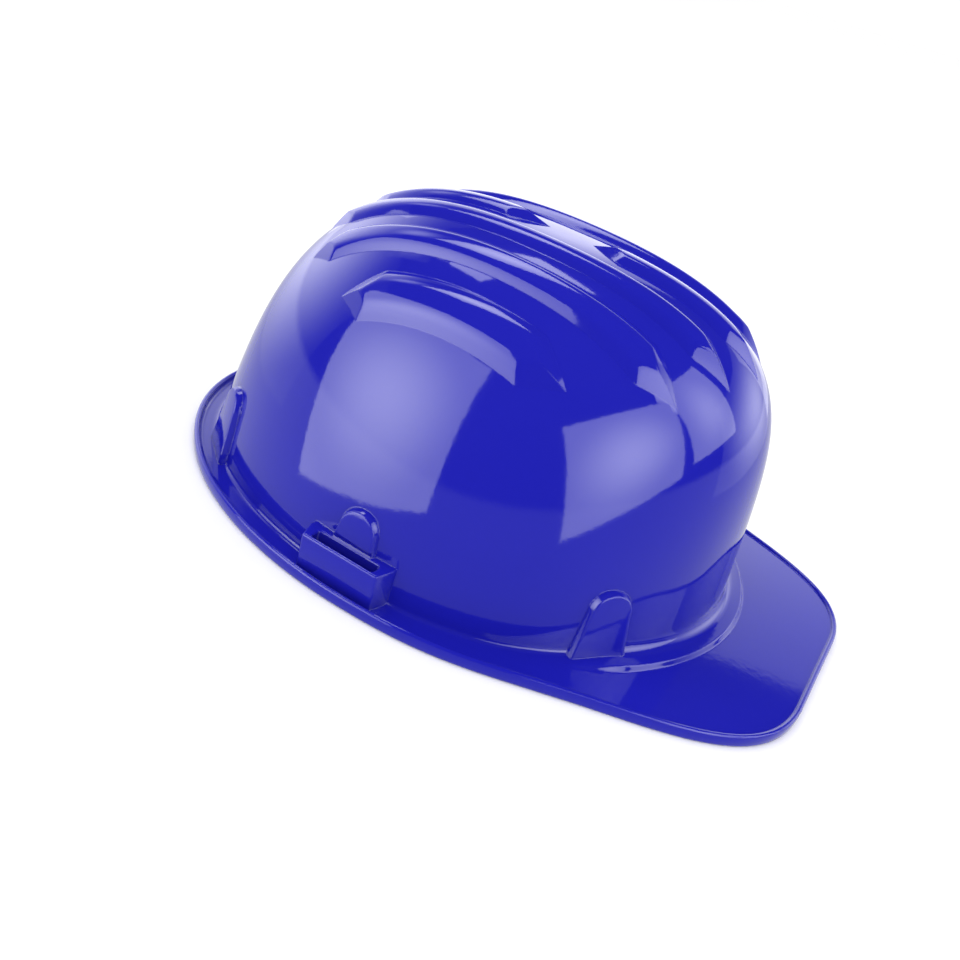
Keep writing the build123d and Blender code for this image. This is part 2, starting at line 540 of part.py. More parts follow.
# ---------------------------------------------------------------- knob and pinion
with BuildPart() as pinion:
    with BuildSketch(rear_plane(COVER_Y - PINION_GAP)):
        Circle(PINION_PITCH - TOOTH_DEDENDUM)
        for tooth in range(PINION_TEETH):
            angle = 360 / PINION_TEETH * tooth + 90
            with BuildLine(Plane.XY.rotated((0, 0, angle))):
                Polyline(
                    (PINION_PITCH - TOOTH_DEDENDUM - TOOTH_SINK, -TOOTH_ROOT),
                    (PINION_PITCH, -TOOTH_HALF),
                    (PINION_PITCH + TOOTH_ADDENDUM, -TOOTH_TIP),
                    (PINION_PITCH + TOOTH_ADDENDUM, TOOTH_TIP),
                    (PINION_PITCH, TOOTH_HALF),
                    (PINION_PITCH - TOOTH_DEDENDUM - TOOTH_SINK, TOOTH_ROOT),
                    close=True,
                )
            make_face()
    extrude(amount=COVER_Y - PINION_GAP - PINION_LOW)
    with BuildSketch(rear_plane(KNOB_Y)):
        Circle(SHAFT_RADIUS)
    extrude(amount=KNOB_Y - COVER_Y + PINION_GAP)
    with BuildSketch(rear_plane(KNOB_DRIVE_END)):
        RegularPolygon(SHAFT_RADIUS, 6)
    extrude(amount=KNOB_DRIVE_END - KNOB_Y)
finish(pinion.part, "pinion")

with BuildPart() as knob:
    with BuildSketch(rear_plane(KNOB_END)):
        Circle(KNOB_RADIUS)
        with PolarLocations(LOBE_CENTRE, KNOB_LOBES):
            Circle(LOBE_RADIUS, mode=Mode.SUBTRACT)
    extrude(amount=KNOB_END - KNOB_Y - SLIDE_GAP)
    fillet(knob.faces().sort_by(Axis.Y)[-1].edges(), KNOB_EDGE)
    with BuildSketch(rear_plane(KNOB_SKIRT_TOP)):
        Circle(NOTCH_RING_OUTER + RING_ROOM)
    extrude(amount=KNOB_SKIRT_TOP - KNOB_Y, mode=Mode.SUBTRACT)
    with BuildSketch(rear_plane(KNOB_DRIVE_END)):
        RegularPolygon(SHAFT_RADIUS, 6)
    extrude(amount=KNOB_DRIVE_END - KNOB_Y, mode=Mode.SUBTRACT)
    with BuildSketch(rear_plane(KNOB_END)):
        Circle(KNOB_SCREW_HEAD)
    extrude(amount=KNOB_SCREW_DEPTH, mode=Mode.SUBTRACT)
    with BuildSketch(rear_plane(KNOB_END)):
        Circle(SCREW_RADIUS)
    extrude(amount=KNOB_END - KNOB_DRIVE_END, mode=Mode.SUBTRACT)
finish(knob.part, "knob")

with BuildPart() as knob_screw:
    with BuildSketch(rear_plane(KNOB_END - KNOB_SCREW_SUNK)):
        Circle(KNOB_SCREW_HEAD)
        Rectangle(DRIVER_SLOT, DRIVER_REACH, mode=Mode.SUBTRACT)
        Rectangle(DRIVER_REACH, DRIVER_SLOT, mode=Mode.SUBTRACT)
    extrude(amount=KNOB_SCREW_DEPTH - KNOB_SCREW_SUNK)
    with BuildSketch(rear_plane(KNOB_END - KNOB_SCREW_DEPTH)):
        Circle(SCREW_RADIUS)
    extrude(amount=KNOB_END - KNOB_SCREW_DEPTH - KNOB_DRIVE_END)
finish(knob_screw.part, "knob_screw")

with BuildPart() as detent_spring:
    with BuildSketch(rear_plane(KNOB_SKIRT_TOP - SLIDE_GAP)):
        for start in (0, 180):
            with BuildLine():
                CenterArc((0, 0), DETENT_RADIUS, start, DETENT_ARC)
            trace(line_width=DETENT_WIDTH)
            with BuildLine():
                PolarLine((0, 0), DETENT_RADIUS, start)
            trace(line_width=DETENT_SPOKE)
        Circle(DETENT_HUB)
        RegularPolygon(SHAFT_RADIUS, 6, mode=Mode.SUBTRACT)
    extrude(amount=DETENT_THICKNESS)
finish(detent_spring.part, "detent_spring")
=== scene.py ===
"""Looks of the hard hat: glossy moulded shell, webbing harness, padded bands and ratchet.

Shapes are worked out in millimetres from the crown's widest section, and moved into the row frame,
in metres, when their meshes are made.
"""

import math

import bpy
import numpy as np
from mathutils import Matrix, Vector


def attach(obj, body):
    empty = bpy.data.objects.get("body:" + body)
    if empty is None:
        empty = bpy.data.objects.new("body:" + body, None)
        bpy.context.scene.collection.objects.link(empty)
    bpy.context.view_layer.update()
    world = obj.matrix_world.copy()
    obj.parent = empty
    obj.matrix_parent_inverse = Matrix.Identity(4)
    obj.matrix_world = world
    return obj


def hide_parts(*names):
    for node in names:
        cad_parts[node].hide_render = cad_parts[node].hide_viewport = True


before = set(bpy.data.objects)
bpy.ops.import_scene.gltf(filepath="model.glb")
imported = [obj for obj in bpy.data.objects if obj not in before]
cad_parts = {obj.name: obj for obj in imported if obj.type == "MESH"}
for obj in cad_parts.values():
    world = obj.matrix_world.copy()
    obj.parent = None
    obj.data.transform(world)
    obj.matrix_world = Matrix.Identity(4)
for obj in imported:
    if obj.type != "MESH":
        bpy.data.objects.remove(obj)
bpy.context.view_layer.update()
MM = 0.001
SIDES = {"left": 1, "right": -1}

# ---- dimensions, in millimetres unless a comment says otherwise
HAT_Y = 11.0                 # the crown's widest section, behind the row frame's origin
# half width or length at the foot, lean per millimetre of height and power of the upper rounding
CROWN = {"side": (94.4, 0.10, 2.5), "front": (110.5, 0.08, 5.8), "rear": (124.5, 0.20, 3.9)}
CROWN_HEIGHT, CROWN_ROUNDING, WALL = 121.8, 2.8, 2.4
BRIM_SIDE, BRIM_REAR, PEAK_REACH = 105.8, 133.0, 155.0
PEAK_HALF_WIDTH, PEAK_CORNER, PEAK_SLANT = 26.0, 54.5, math.radians(19.4)
SIDE_HANDLE, CORNER_HANDLE = 45.4, 33.0
LIP_WIDTH, LIP_TOP = 2.2, 4.8
GUTTER_FLOOR, PEAK_TOP = 1.9, 3.7
LEDGE_HEIGHT, LEDGE_RUN, STEP_RUN, BOWL = 2.0, 3.4, 1.8, 2.2
PEAK_BLEND, LEDGE_BLEND = (52, 80), (72, 90)      # forward of the widest section
FILLET_REAR, FILLET_FRONT, EVEN_FOOT = 2.0, 4.6, 14.0
TURNS = 432                  # stations round the shell
CROWN_LEVELS, INNER_LEVELS = 64, 44
RIDGE_PITCH, RIDGE_HALF, RIDGE_HEIGHT = 20.1, 6.5, 2.9
RIDGE_NOSE, RIDGE_TAIL, RIDGE_SINK = 15.0, 12.0, 0.4
RIDGE_WALL, RIDGE_BOW, RIDGE_STERN = 0.80, 0.23, 0.62     # slopes
RIDGE_CROWN, RIDGE_ROOT = 0.030, 1.1
# how far each ridge reaches to the front and to the rear, from the middle one outwards
RIDGE_REACHES = [(89.5, 86.4), (84.8, 87.4), (74.8, 79.4), (42.9, 49.7)]
RIDGE_GAP = (-14.0, 4.5)
POCKET_ANGLES = {"front": -50.0, "side": 1.4, "rear": 46.3}
SLOT_Y, SLOT_TOP, SLOT_HALF, SLOT_FACE = 3.2, 16.8, 16.4, 101.4
SLOT_FLARE_X, SLOT_FLARE_HALF, SLOT_BACK = 93.5, 18.6, 90.0
SLOT_GROOVE, GROOVE_HALF = (95.0, 99.9), 13.5
ARCH_RADIUS, ARCH_CENTRE, ARCH_FOOT, LEAN_HEIGHT = 8.4, 23.0, (11.8, 0.7), 31.0
POCKET_TILT = math.radians(6)
SLEEVE_WIDTH, SLEEVE_DEPTH, SLEEVE_HEIGHT, SLEEVE_INSET = 14.4, 2.4, 24.0, 2.2
BOSS_FOOT, BOSS_TOP, BOSS_DEPTH, BOSS_RIM = 0.8, 27.0, 4.8, 2.0
NECK_NOTCH, NOTCH_REACH = 5.7, 6.4
PLATE_INNER, PLATE_WIDTH = 11.0, 24.0        # the inner face lies in from the wall's foot
WEB_WIDTH, WEB_THICKNESS = 19.0, 1.3
STRAP_SHOULDER, STRAP_RISE, STRAP_LAYER, TAIL_LIFT = 26.0, 60.0, 2.2, 1.42
STRAPS = [
    ("crown_strap_side", ("side", 1), ("side", -1)),
    ("crown_strap_diagonal_a", ("front", 1), ("rear", -1)),
    ("crown_strap_diagonal_b", ("front", -1), ("rear", 1)),
]
BAND_SIDE, BAND_FRONT = 76.1, 93.6           # inside of the headband
BAND_THICKNESS, BAND_LOW, BAND_HIGH, BAND_TAIL, BAND_ROUND = 1.4, 5.0, 33.0, 18.8, 11.0
PEG_Z, PEG_INSET, PEG_HOLE = 9.0, 17.5, 2.75
PIVOT_Y, PIVOT_Z, PIVOT_HOLE, PIN_REACH = 13.0, 20.0, 2.5, 5.0
SWEAT_TAIL, SWEAT_LOW, SWEAT_HIGH, SWEAT_HEM, SWEAT_TAPER = -4.0, 3.5, 35.0, 3.4, 7.0
SWEAT_CROWN = 2.75
PAD_HALF, PAD_HEIGHT, PAD_BACK, PAD_MIDDLE = 25.0, 30.0, 89.0, 20.0
PAD_CROWN, PAD_CHANNEL, PIPING_RADIUS = 5.6, 8.6, 0.85
MOULDED_ANGLE = 22                           # degrees: moulded pieces keep sharper creases crisp


# ---- mesh helpers
def to_row(points):
    """Hat coordinates in millimetres to the row frame in metres."""
    moved = np.array(points, float)
    moved[:, 1] += HAT_Y
    return moved * MM


def mesh_object(name, points, faces):
    mesh = bpy.data.meshes.new(name)
    mesh.from_pydata(to_row(points).tolist(), [], faces)
    mesh.validate()
    obj = bpy.data.objects.new(name, mesh)
    bpy.context.scene.collection.objects.link(obj)
    return obj


def grid_faces(rows, columns, closed=False, ring=False, start=0):
    """Quads of a rows x columns grid of points; closed joins columns end to end, ring joins rows."""
    faces = []
    for i in range(rows if ring else rows - 1):
        here, ahead = start + i * columns, start + (i + 1) % rows * columns
        for j in range(columns if closed else columns - 1):
            k = (j + 1) % columns
            faces.append((here + j, here + k, ahead + k, ahead + j))
    return faces


def slab_faces(rows, columns):
    """Faces of a slab, one grid of points over another, and the walk round its rim."""
    count = rows * columns
    faces = grid_faces(rows, columns)
    faces += [tuple(count + v for v in f[::-1]) for f in faces]
    rim = list(range(columns)) + [i * columns + columns - 1 for i in range(1, rows)]
    rim += [(rows - 1) * columns + i for i in range(columns - 2, -1, -1)]
    rim += [i * columns for i in range(rows - 2, 0, -1)]
    faces += [(b, a, count + a, count + b) for a, b in zip(rim, rim[1:] + rim[:1])]
    return faces, rim


def smooth_step(value, low, high):
    t = np.clip((value - low) / (high - low), 0, 1)
    return t * t * (3 - 2 * t)


# ---- the crown's surface
def reach(kind, z, inset=0.0):
    length, lean, power = CROWN[kind]
    height = CROWN_HEIGHT - inset
    drop = np.clip(1 - (np.clip(z, 0, height) / height) ** power, 1e-9, 1)
    return (length - inset - lean * z) * drop ** (1 / CROWN_ROUNDING)


def crown_radius(turn, z, inset=0.0):
    """Radius of the crown's section at height z, in the direction turn."""
    x, y = np.cos(turn), np.sin(turn)
    along = np.where(y > 0, reach("rear", z, inset), reach("front", z, inset))
    return 1 / np.sqrt((x / reach("side", z, inset)) ** 2 + (y / along) ** 2)


def crown_level(x, y, z):
    """Below 1 inside the crown at height z, above 1 outside."""
    along = np.where(y > 0, reach("rear", z), reach("front", z))
    return (x / reach("side", z)) ** 2 + (y / along) ** 2


def crown_top(x, y):
    """Height and outward normal of the crown's surface over the plan point x, y."""
    low, high = np.zeros_like(x), np.full_like(x, CROWN_HEIGHT)
    for _ in range(44):
        middle = (low + high) / 2
        inside = crown_level(x, y, middle) < 1
        low, high = np.where(inside, middle, low), np.where(inside, high, middle)
    step = 0.05
    z = np.minimum(low, CROWN_HEIGHT - 2 * step)
    slope = np.stack([
        crown_level(x + step, y, z) - crown_level(x - step, y, z),
        crown_level(x, y + step, z) - crown_level(x, y - step, z),
        crown_level(x, y, z + step) - crown_level(x, y, z - step),
    ], axis=-1)
    slope /= np.linalg.norm(slope, axis=-1, keepdims=True)
    return low, slope


def bezier(points, steps):
    t = np.linspace(0, 1, steps)[:, None]
    a, b, c, d = [np.array(p, float) for p in points]
    return a * (1 - t) ** 3 + 3 * b * t * (1 - t) ** 2 + 3 * c * t * t * (1 - t) + d * t ** 3


def brim_radius(turn):
    """Radius of the brim's outline in the direction turn."""
    around = np.linspace(0, math.pi, 400)
    rear = np.stack([BRIM_SIDE * np.cos(around), BRIM_REAR * np.sin(around)], axis=1)
    corner = np.array([PEAK_HALF_WIDTH + PEAK_CORNER, PEAK_CORNER - PEAK_REACH])
    run = np.array([-math.sin(PEAK_SLANT), -math.cos(PEAK_SLANT)])
    side = bezier([(BRIM_SIDE, 0), (BRIM_SIDE, -SIDE_HANDLE), corner - SIDE_HANDLE * run, corner], 300)
    bend = bezier([corner, corner + CORNER_HANDLE * run,
                   (PEAK_HALF_WIDTH + CORNER_HANDLE, -PEAK_REACH), (PEAK_HALF_WIDTH, -PEAK_REACH)], 300)
    front = np.stack([np.linspace(PEAK_HALF_WIDTH, 0, 60), np.full(60, -PEAK_REACH)], axis=1)
    half = np.concatenate([side, bend, front])
    other = half[::-1] * [-1, 1]
    outline = np.concatenate([rear, other, half[::-1]])
    angle = np.mod(np.arctan2(outline[:, 1], outline[:, 0]), 2 * math.pi)
    order = np.argsort(angle)
    return np.interp(turn, angle[order], np.linalg.norm(outline, axis=1)[order], period=2 * math.pi)


def stations():
    """Directions round the shell, closer together where the brim's outline is long."""
    turn = np.linspace(0, 2 * math.pi, 6000)
    radius = brim_radius(turn)
    points = np.stack([radius * np.cos(turn), radius * np.sin(turn)], axis=1)
    length = np.concatenate([[0], np.cumsum(np.linalg.norm(np.diff(points, axis=0), axis=1))])
    share = 0.6 * length / length[-1] + 0.4 * turn / (2 * math.pi)
    return np.interp(np.arange(TURNS) / TURNS, share, turn)


def even_levels(low, count, inset=0.0):
    """Heights from the crown's top down to low, evenly spaced along the wall."""
    z = CROWN_HEIGHT - inset - (CROWN_HEIGHT - inset - low) * np.linspace(0, 1, 4000) ** 3
    r = (reach("side", z, inset) + reach("front", z, inset) + reach("rear", z, inset)) / 3
    length = np.concatenate([[0], np.cumsum(np.hypot(np.diff(z), np.diff(r)))])
    return np.interp(np.linspace(0.012, 1, count) * length[-1], length, z)


# ---- shell
def shell_body():
    """Crown, gutter, lip, peak and inside wall as one closed skin, ring by ring from the top."""
    turn = stations()
    x, y = np.cos(turn), np.sin(turn)
    edge = brim_radius(turn)
    foot_y = crown_radius(turn, 4.0) * y
    peak, front = smooth_step(-foot_y, *PEAK_BLEND), smooth_step(-foot_y, *LEDGE_BLEND)
    floor = GUTTER_FLOOR + (PEAK_TOP - GUTTER_FLOOR) * peak
    ledge = floor + LEDGE_HEIGHT * front
    fillet = FILLET_REAR + (FILLET_FRONT - FILLET_REAR) * front
    rings = [(crown_radius(turn, z), np.full(TURNS, z)) for z in even_levels(EVEN_FOOT, CROWN_LEVELS)]
    for share in (0.3, 0.6, 0.85):
        z = EVEN_FOOT + (ledge + fillet - EVEN_FOOT) * share
        rings.append((crown_radius(turn, z), z))
    start = crown_radius(turn, ledge + fillet)
    for bend in np.radians([0, 18, 36, 54, 72, 90]):
        rings.append((start + fillet * (1 - math.cos(bend)), ledge + fillet * (1 - math.sin(bend))))
    at = start + fillet
    room = edge - LIP_WIDTH - at
    bowl = np.minimum(BOWL, LIP_TOP - LIP_WIDTH / 2 - floor - 0.05)
    flat = room - bowl
    run, drop = np.minimum(LEDGE_RUN, 0.3 * flat), np.minimum(STEP_RUN, 0.25 * flat)
    for share in (0.0, 0.2, 0.4, 0.6, 0.8, 1.0):
        rings.append((at + run + drop * share, floor + (ledge - floor) * (1 - smooth_step(share, 0, 1))))
    for share in (0.2, 0.5, 0.8, 1.0):
        rings.append((at + run + drop + (flat - run - drop) * share, floor))
    for bend in np.radians([22, 45, 67, 90]):
        rings.append((at + flat + bowl * math.sin(bend), floor + bowl * (1 - math.cos(bend))))
    top = LIP_WIDTH / 2
    for bend in np.radians([0, 30, 60, 90, 120, 150, 180]):
        z = LIP_TOP - top + top * math.sin(bend)
        rings.append((edge - top - top * math.cos(bend), np.full(TURNS, z)))
    for out, z in ((0.0, 2.2), (0.0, 0.7), (-0.2, 0.2), (-0.7, 0.0)):
        rings.append((edge + out, np.full(TURNS, z)))
    inner = crown_radius(turn, 0.0, WALL)
    for share in (0.33, 0.66):
        rings.append(((edge - 0.7) * (1 - share) + (inner + 0.6) * share, np.zeros(TURNS)))
    for out, z in ((0.6, 0.0), (0.15, 0.18), (0.0, 0.6)):
        rings.append((crown_radius(turn, z, WALL) + out, np.full(TURNS, z)))
    for z in even_levels(3.0, INNER_LEVELS, WALL)[::-1]:
        rings.append((crown_radius(turn, z, WALL), np.full(TURNS, z)))
    points = [np.stack([r * x, r * y, np.broadcast_to(z, (TURNS,))], axis=1) for r, z in rings]
    points = np.concatenate(points + [[[0, 0, CROWN_HEIGHT]], [[0, 0, CROWN_HEIGHT - WALL]]])
    faces = [f[::-1] for f in grid_faces(len(rings), TURNS, closed=True)]
    last = (len(rings) - 1) * TURNS
    apex, under = last + TURNS, last + TURNS + 1
    for j in range(TURNS):
        k = (j + 1) % TURNS
        faces.append((apex, j, k))
        faces.append((under, last + k, last + j))
    return mesh_object("hat_shell", points, faces)


def soft_min(a, b, round_off):
    """The lower of two heights, with the edge between them rounded."""
    share = np.clip(0.5 + 0.5 * (b - a) / round_off, 0, 1)
    return b * (1 - share) + a * share - round_off * share * (1 - share)


def ridge(middle, start, end):
    """One ridge: sloping walls, a rounded top and hipped, pointed ends, on the crown's surface."""
    columns, rows = 25, int((end - start) / 0.9)
    along = np.linspace(0, 1, rows)
    # the rows lie closer together at both ends
    y = start + (end - start) * (along - 0.055 * np.sin(2 * math.pi * along))
    across = np.linspace(-1, 1, columns)
    nose, tail = y - start, end - y
    bow_half, stern_half = nose * RIDGE_HALF / RIDGE_NOSE, tail * RIDGE_HALF / RIDGE_TAIL
    half = np.minimum(RIDGE_HALF, np.minimum(bow_half, stern_half))
    half = np.maximum(half, 0.12)[:, None] + RIDGE_SINK
    s = across[None, :] * half
    wall = RIDGE_WALL * (RIDGE_HALF - np.abs(s))
    bow_slope = RIDGE_BOW * np.hypot(RIDGE_NOSE, RIDGE_HALF) / RIDGE_HALF
    bow = bow_slope * (bow_half[:, None] - np.abs(s))
    stern = RIDGE_STERN * (stern_half[:, None] - np.abs(s))
    crest = RIDGE_HEIGHT - RIDGE_CROWN * s * s
    height = soft_min(wall, crest, 0.9)
    height = soft_min(height, stern, 0.15)
    height = soft_min(height, bow, 0.25)
    px, py = middle + s, np.broadcast_to(y[:, None], s.shape)
    z, normal = crown_top(px.ravel(), py.ravel())
    ground = np.stack([px.ravel(), py.ravel(), z], axis=1)
    upper = ground + normal * height.ravel()[:, None]
    lower = ground - normal * RIDGE_ROOT
    faces, _ = slab_faces(rows, columns)
    return mesh_object("ridge", np.concatenate([upper, lower]), faces)


def station(corner, side):
    """Foot of the wall at a key pocket, the way along the wall and the way out."""
    angle = math.radians(POCKET_ANGLES[corner])
    width, length = CROWN["side"][0], CROWN["rear" if angle > 0 else "front"][0]
    x, y = width * math.cos(angle), length * math.sin(angle)
    out = Vector((x / width ** 2, y / length ** 2, 0)).normalized()
    foot, out = Vector((side * x, y, 0)), Vector((side * out.x, out.y, 0))
    return foot, Vector((0, 0, 1)).cross(out), out


def inset_outline(outline, amount):
    """A closed outline moved inwards, or outwards if the amount is negative, by its points' normals."""
    ahead, behind = np.roll(outline, -1, axis=0), np.roll(outline, 1, axis=0)
    a = (outline - behind) / np.linalg.norm(outline - behind, axis=1, keepdims=True)
    b = (ahead - outline) / np.linalg.norm(ahead - outline, axis=1, keepdims=True)
    mean = a + b
    mean /= np.linalg.norm(mean, axis=1, keepdims=True)
    grow = amount / np.maximum(np.sum(mean * a, axis=1, keepdims=True), 0.5)
    return outline + np.stack([-mean[:, 1], mean[:, 0]], axis=1) * grow


def round_corners(corners, radii):
    """A closed outline with each corner replaced by an arc."""
    points = []
    count, steps = len(corners), 5
    for i in range(count):
        here, before, after = [np.array(corners[j % count], float) for j in (i, i - 1, i + 1)]
        a, b = before - here, after - here
        a, b = a / np.linalg.norm(a), b / np.linalg.norm(b)
        half = math.acos(np.clip(np.dot(a, b), -1, 1)) / 2
        back = radii[i] / math.tan(half)
        centre = here + (a + b) / np.linalg.norm(a + b) * radii[i] / math.sin(half)
        first, last = here + a * back - centre, here + b * back - centre
        sweep = math.atan2(first[0] * last[1] - first[1] * last[0], np.dot(first, last))
        for k in range(steps + 1):
            turn = sweep * k / steps
            points.append(centre + [first[0] * math.cos(turn) - first[1] * math.sin(turn),
                                    first[0] * math.sin(turn) + first[1] * math.cos(turn)])
    return np.array(points)


def stacked(name, outline, layers, place):
    """A closed solid of an outline stacked in layers of (inset, height); place puts (u, v, h) in space."""
    count = len(outline)
    points = []
    for amount, height in layers:
        ring = inset_outline(outline, amount) if amount else outline
        points += [place(u, v, height) for u, v in ring]
    faces = grid_faces(len(layers), count, closed=True)
    faces.append(tuple(range(count))[::-1])
    faces.append(tuple((len(layers) - 1) * count + i for i in range(count)))
    return mesh_object(name, points, faces)


def arch(corner, side):
    """Raised arch over a key pocket: sloping sides and a flat face that follows the wall's lean."""
    foot, along, out = station(corner, side)
    turn = math.atan2(foot.y, foot.x)
    wall = float(crown_radius(np.array([turn]), LEAN_HEIGHT)[0])
    lean = math.atan((foot.length - wall) * math.cos(turn - math.atan2(out.y, out.x)) / LEAN_HEIGHT)
    normal = out * math.cos(lean) + Vector((0, 0, math.sin(lean)))
    up = normal.cross(along)
    bend = np.radians(np.linspace(0, 180, 25))
    top = np.stack([ARCH_RADIUS * np.cos(bend), ARCH_CENTRE + ARCH_RADIUS * np.sin(bend)], axis=1)
    half, low = ARCH_FOOT
    legs = np.array([(-10.4, 9.0), (-half, low), (0.0, low), (half, low), (10.4, 9.0)])
    outline = np.concatenate([top, legs])
    layers = [(0, -2.0), (0, -0.6), (0, 0.2), (0.12, 0.6), (0.75, 2.1), (0.95, 2.42), (1.3, 2.66),
              (1.9, 2.75)]
    return stacked("arch", outline, layers, lambda u, v, h: foot + along * u + up * v + normal * h)


def slot_box(side):
    """Accessory slot box: a flat face, side walls that flare to the crown and a bevelled top."""
    corners = [(SLOT_FACE, -SLOT_HALF), (SLOT_FACE, SLOT_HALF), (SLOT_FLARE_X, SLOT_FLARE_HALF),
               (SLOT_BACK, SLOT_FLARE_HALF), (SLOT_BACK, -SLOT_FLARE_HALF), (SLOT_FLARE_X, -SLOT_FLARE_HALF)]
    outline = round_corners(corners, (1.0, 1.0, 1.0, 0.4, 0.4, 1.0))
    layers = [(0, 0.6), (0, 8.0), (0, SLOT_TOP - 0.8), (0.22, SLOT_TOP - 0.25), (0.75, SLOT_TOP)]
    return stacked("slot_box", outline, layers, lambda u, v, h: Vector((side * u, SLOT_Y + v, h)))


def slot_cutter(side):
    """The slot through the box, from below the rim to a flared mouth."""
    near, far = SLOT_GROOVE
    corners = [(near, -GROOVE_HALF), (far, -GROOVE_HALF), (far, GROOVE_HALF), (near, GROOVE_HALF)]
    outline = round_corners(corners, (1.2,) * 4)
    layers = [(0, -2.0), (0, SLOT_TOP - 0.45), (-0.45, SLOT_TOP), (-0.9, SLOT_TOP + 0.5),
              (-0.9, SLOT_TOP + 2)]
    return stacked("slot_cutter", outline, layers, lambda u, v, h: Vector((side * u, SLOT_Y + v, h)))


def rectangle(wide, low, high, corner):
    """A rectangle with rounded corners, wide about u = 0 and from low to high."""
    corners = [(-wide / 2, low), (wide / 2, low), (wide / 2, high), (-wide / 2, high)]
    return round_corners(corners, (corner,) * 4)


def pocket_block(corner, side, outline, layers, tilt):
    """A block at a key pocket; heights are outwards from the wall's foot, leaning in by the tilt."""
    foot, along, out = station(corner, side)
    normal = out * math.cos(tilt) + Vector((0, 0, math.sin(tilt)))
    up = normal.cross(along)
    return stacked("pocket_block", outline, layers, lambda u, v, h: foot + along * u + up * v + normal * h)


def sleeve_boss(corner, side):
    outline = rectangle(SLEEVE_WIDTH + 2 * BOSS_RIM, BOSS_FOOT, BOSS_TOP, 1.8)
    layers = [(0.9, -BOSS_DEPTH), (0.25, 0.25 - BOSS_DEPTH), (0, 0.9 - BOSS_DEPTH), (0, -1.0)]
    return pocket_block(corner, side, outline, layers, POCKET_TILT)


def sleeve_cutter(corner, side):
    outline = rectangle(SLEEVE_WIDTH, -2.0, SLEEVE_HEIGHT, 0.6)
    middle = -SLEEVE_INSET
    layers = [(0, middle - SLEEVE_DEPTH / 2), (0, middle + SLEEVE_DEPTH / 2)]
    return pocket_block(corner, side, outline, layers, POCKET_TILT)


def neck_cutter(corner, side):
    outline = rectangle(SLEEVE_WIDTH, -2.0, NECK_NOTCH, 0.4)
    return pocket_block(corner, side, outline, [(0, -NOTCH_REACH), (0, -1.0)], 0.0)


def make_outward(obj):
    """Turns a closed mesh the right way out, by its signed volume."""
    mesh = obj.data
    mesh.calc_loop_triangles()
    volume = 0.0
    for triangle in mesh.loop_triangles:
        a, b, c = [mesh.vertices[k].co for k in triangle.vertices]
        volume += a.dot(b.cross(c))
    if volume < 0:
        mesh.flip_normals()
    return obj


def cut_or_join(obj, other, operation):
    """Unites another mesh with the first or takes it away, and uses it up."""
    make_outward(other)
    modifier = obj.modifiers.new("boolean", "BOOLEAN")
    modifier.operation, modifier.object, modifier.solver = operation, other, "MANIFOLD"
    graph = bpy.context.evaluated_depsgraph_get()
    made = bpy.data.meshes.new_from_object(obj.evaluated_get(graph))
    obj.modifiers.clear()
    old, obj.data = obj.data, made
    bpy.data.meshes.remove(old)
    bpy.data.objects.remove(other)


def make_shell():
    shell = make_outward(shell_body())
    outermost = len(RIDGE_REACHES) - 1
    for index in range(-outermost, outermost + 1):
        front, rear = RIDGE_REACHES[abs(index)]
        spans = [(-front, rear)] if index else [(-front, RIDGE_GAP[0]), (RIDGE_GAP[1], rear)]
        for start, end in spans:
            cut_or_join(shell, ridge(index * RIDGE_PITCH, start, end), "UNION")
    for side in SIDES.values():
        cut_or_join(shell, slot_box(side), "UNION")
        for corner in POCKET_ANGLES:
            cut_or_join(shell, arch(corner, side), "UNION")
            cut_or_join(shell, sleeve_boss(corner, side), "UNION")
            cut_or_join(shell, sleeve_cutter(corner, side), "DIFFERENCE")
            cut_or_join(shell, neck_cutter(corner, side), "DIFFERENCE")
        cut_or_join(shell, slot_cutter(side), "DIFFERENCE")
    shell.name = shell.data.name = "hat_shell"
    return shell


def dress(obj, material, angle=60):
    """A material, and smooth shading up to that angle between faces, in degrees."""
    obj.data.materials.clear()
    obj.data.materials.append(material)
    obj.data.shade_smooth()
    obj.data.set_sharp_from_angle(angle=math.radians(angle))
    return obj


# ---- swept soft goods
def lengths(points):
    """Distance run along a line of points, from its start to each of them."""
    steps = np.linalg.norm(np.diff(points, axis=0), axis=1)
    return np.concatenate([[0], np.cumsum(steps)])


def unit(vectors):
    return vectors / np.linalg.norm(vectors, axis=-1, keepdims=True)


def resample(points, spacing):
    """A smooth curve through points, at an even spacing."""
    points = np.array(points, float)
    closed_up = np.concatenate([[2 * points[0] - points[1]], points, [2 * points[-1] - points[-2]]])
    dense = []
    for a, b, c, d in zip(closed_up, closed_up[1:], closed_up[2:], closed_up[3:]):
        for t in np.linspace(0, 1, 10, endpoint=False):
            dense.append(0.5 * (2 * b + (c - a) * t + (2 * a - 5 * b + 4 * c - d) * t * t
                                + (3 * b - a - 3 * c + d) * t ** 3))
    dense = np.array(dense + [points[-1]])
    run = lengths(dense)
    even = np.linspace(0, run[-1], max(int(run[-1] / spacing), 2))
    return np.stack([np.interp(even, run, dense[:, i]) for i in range(3)], axis=1)


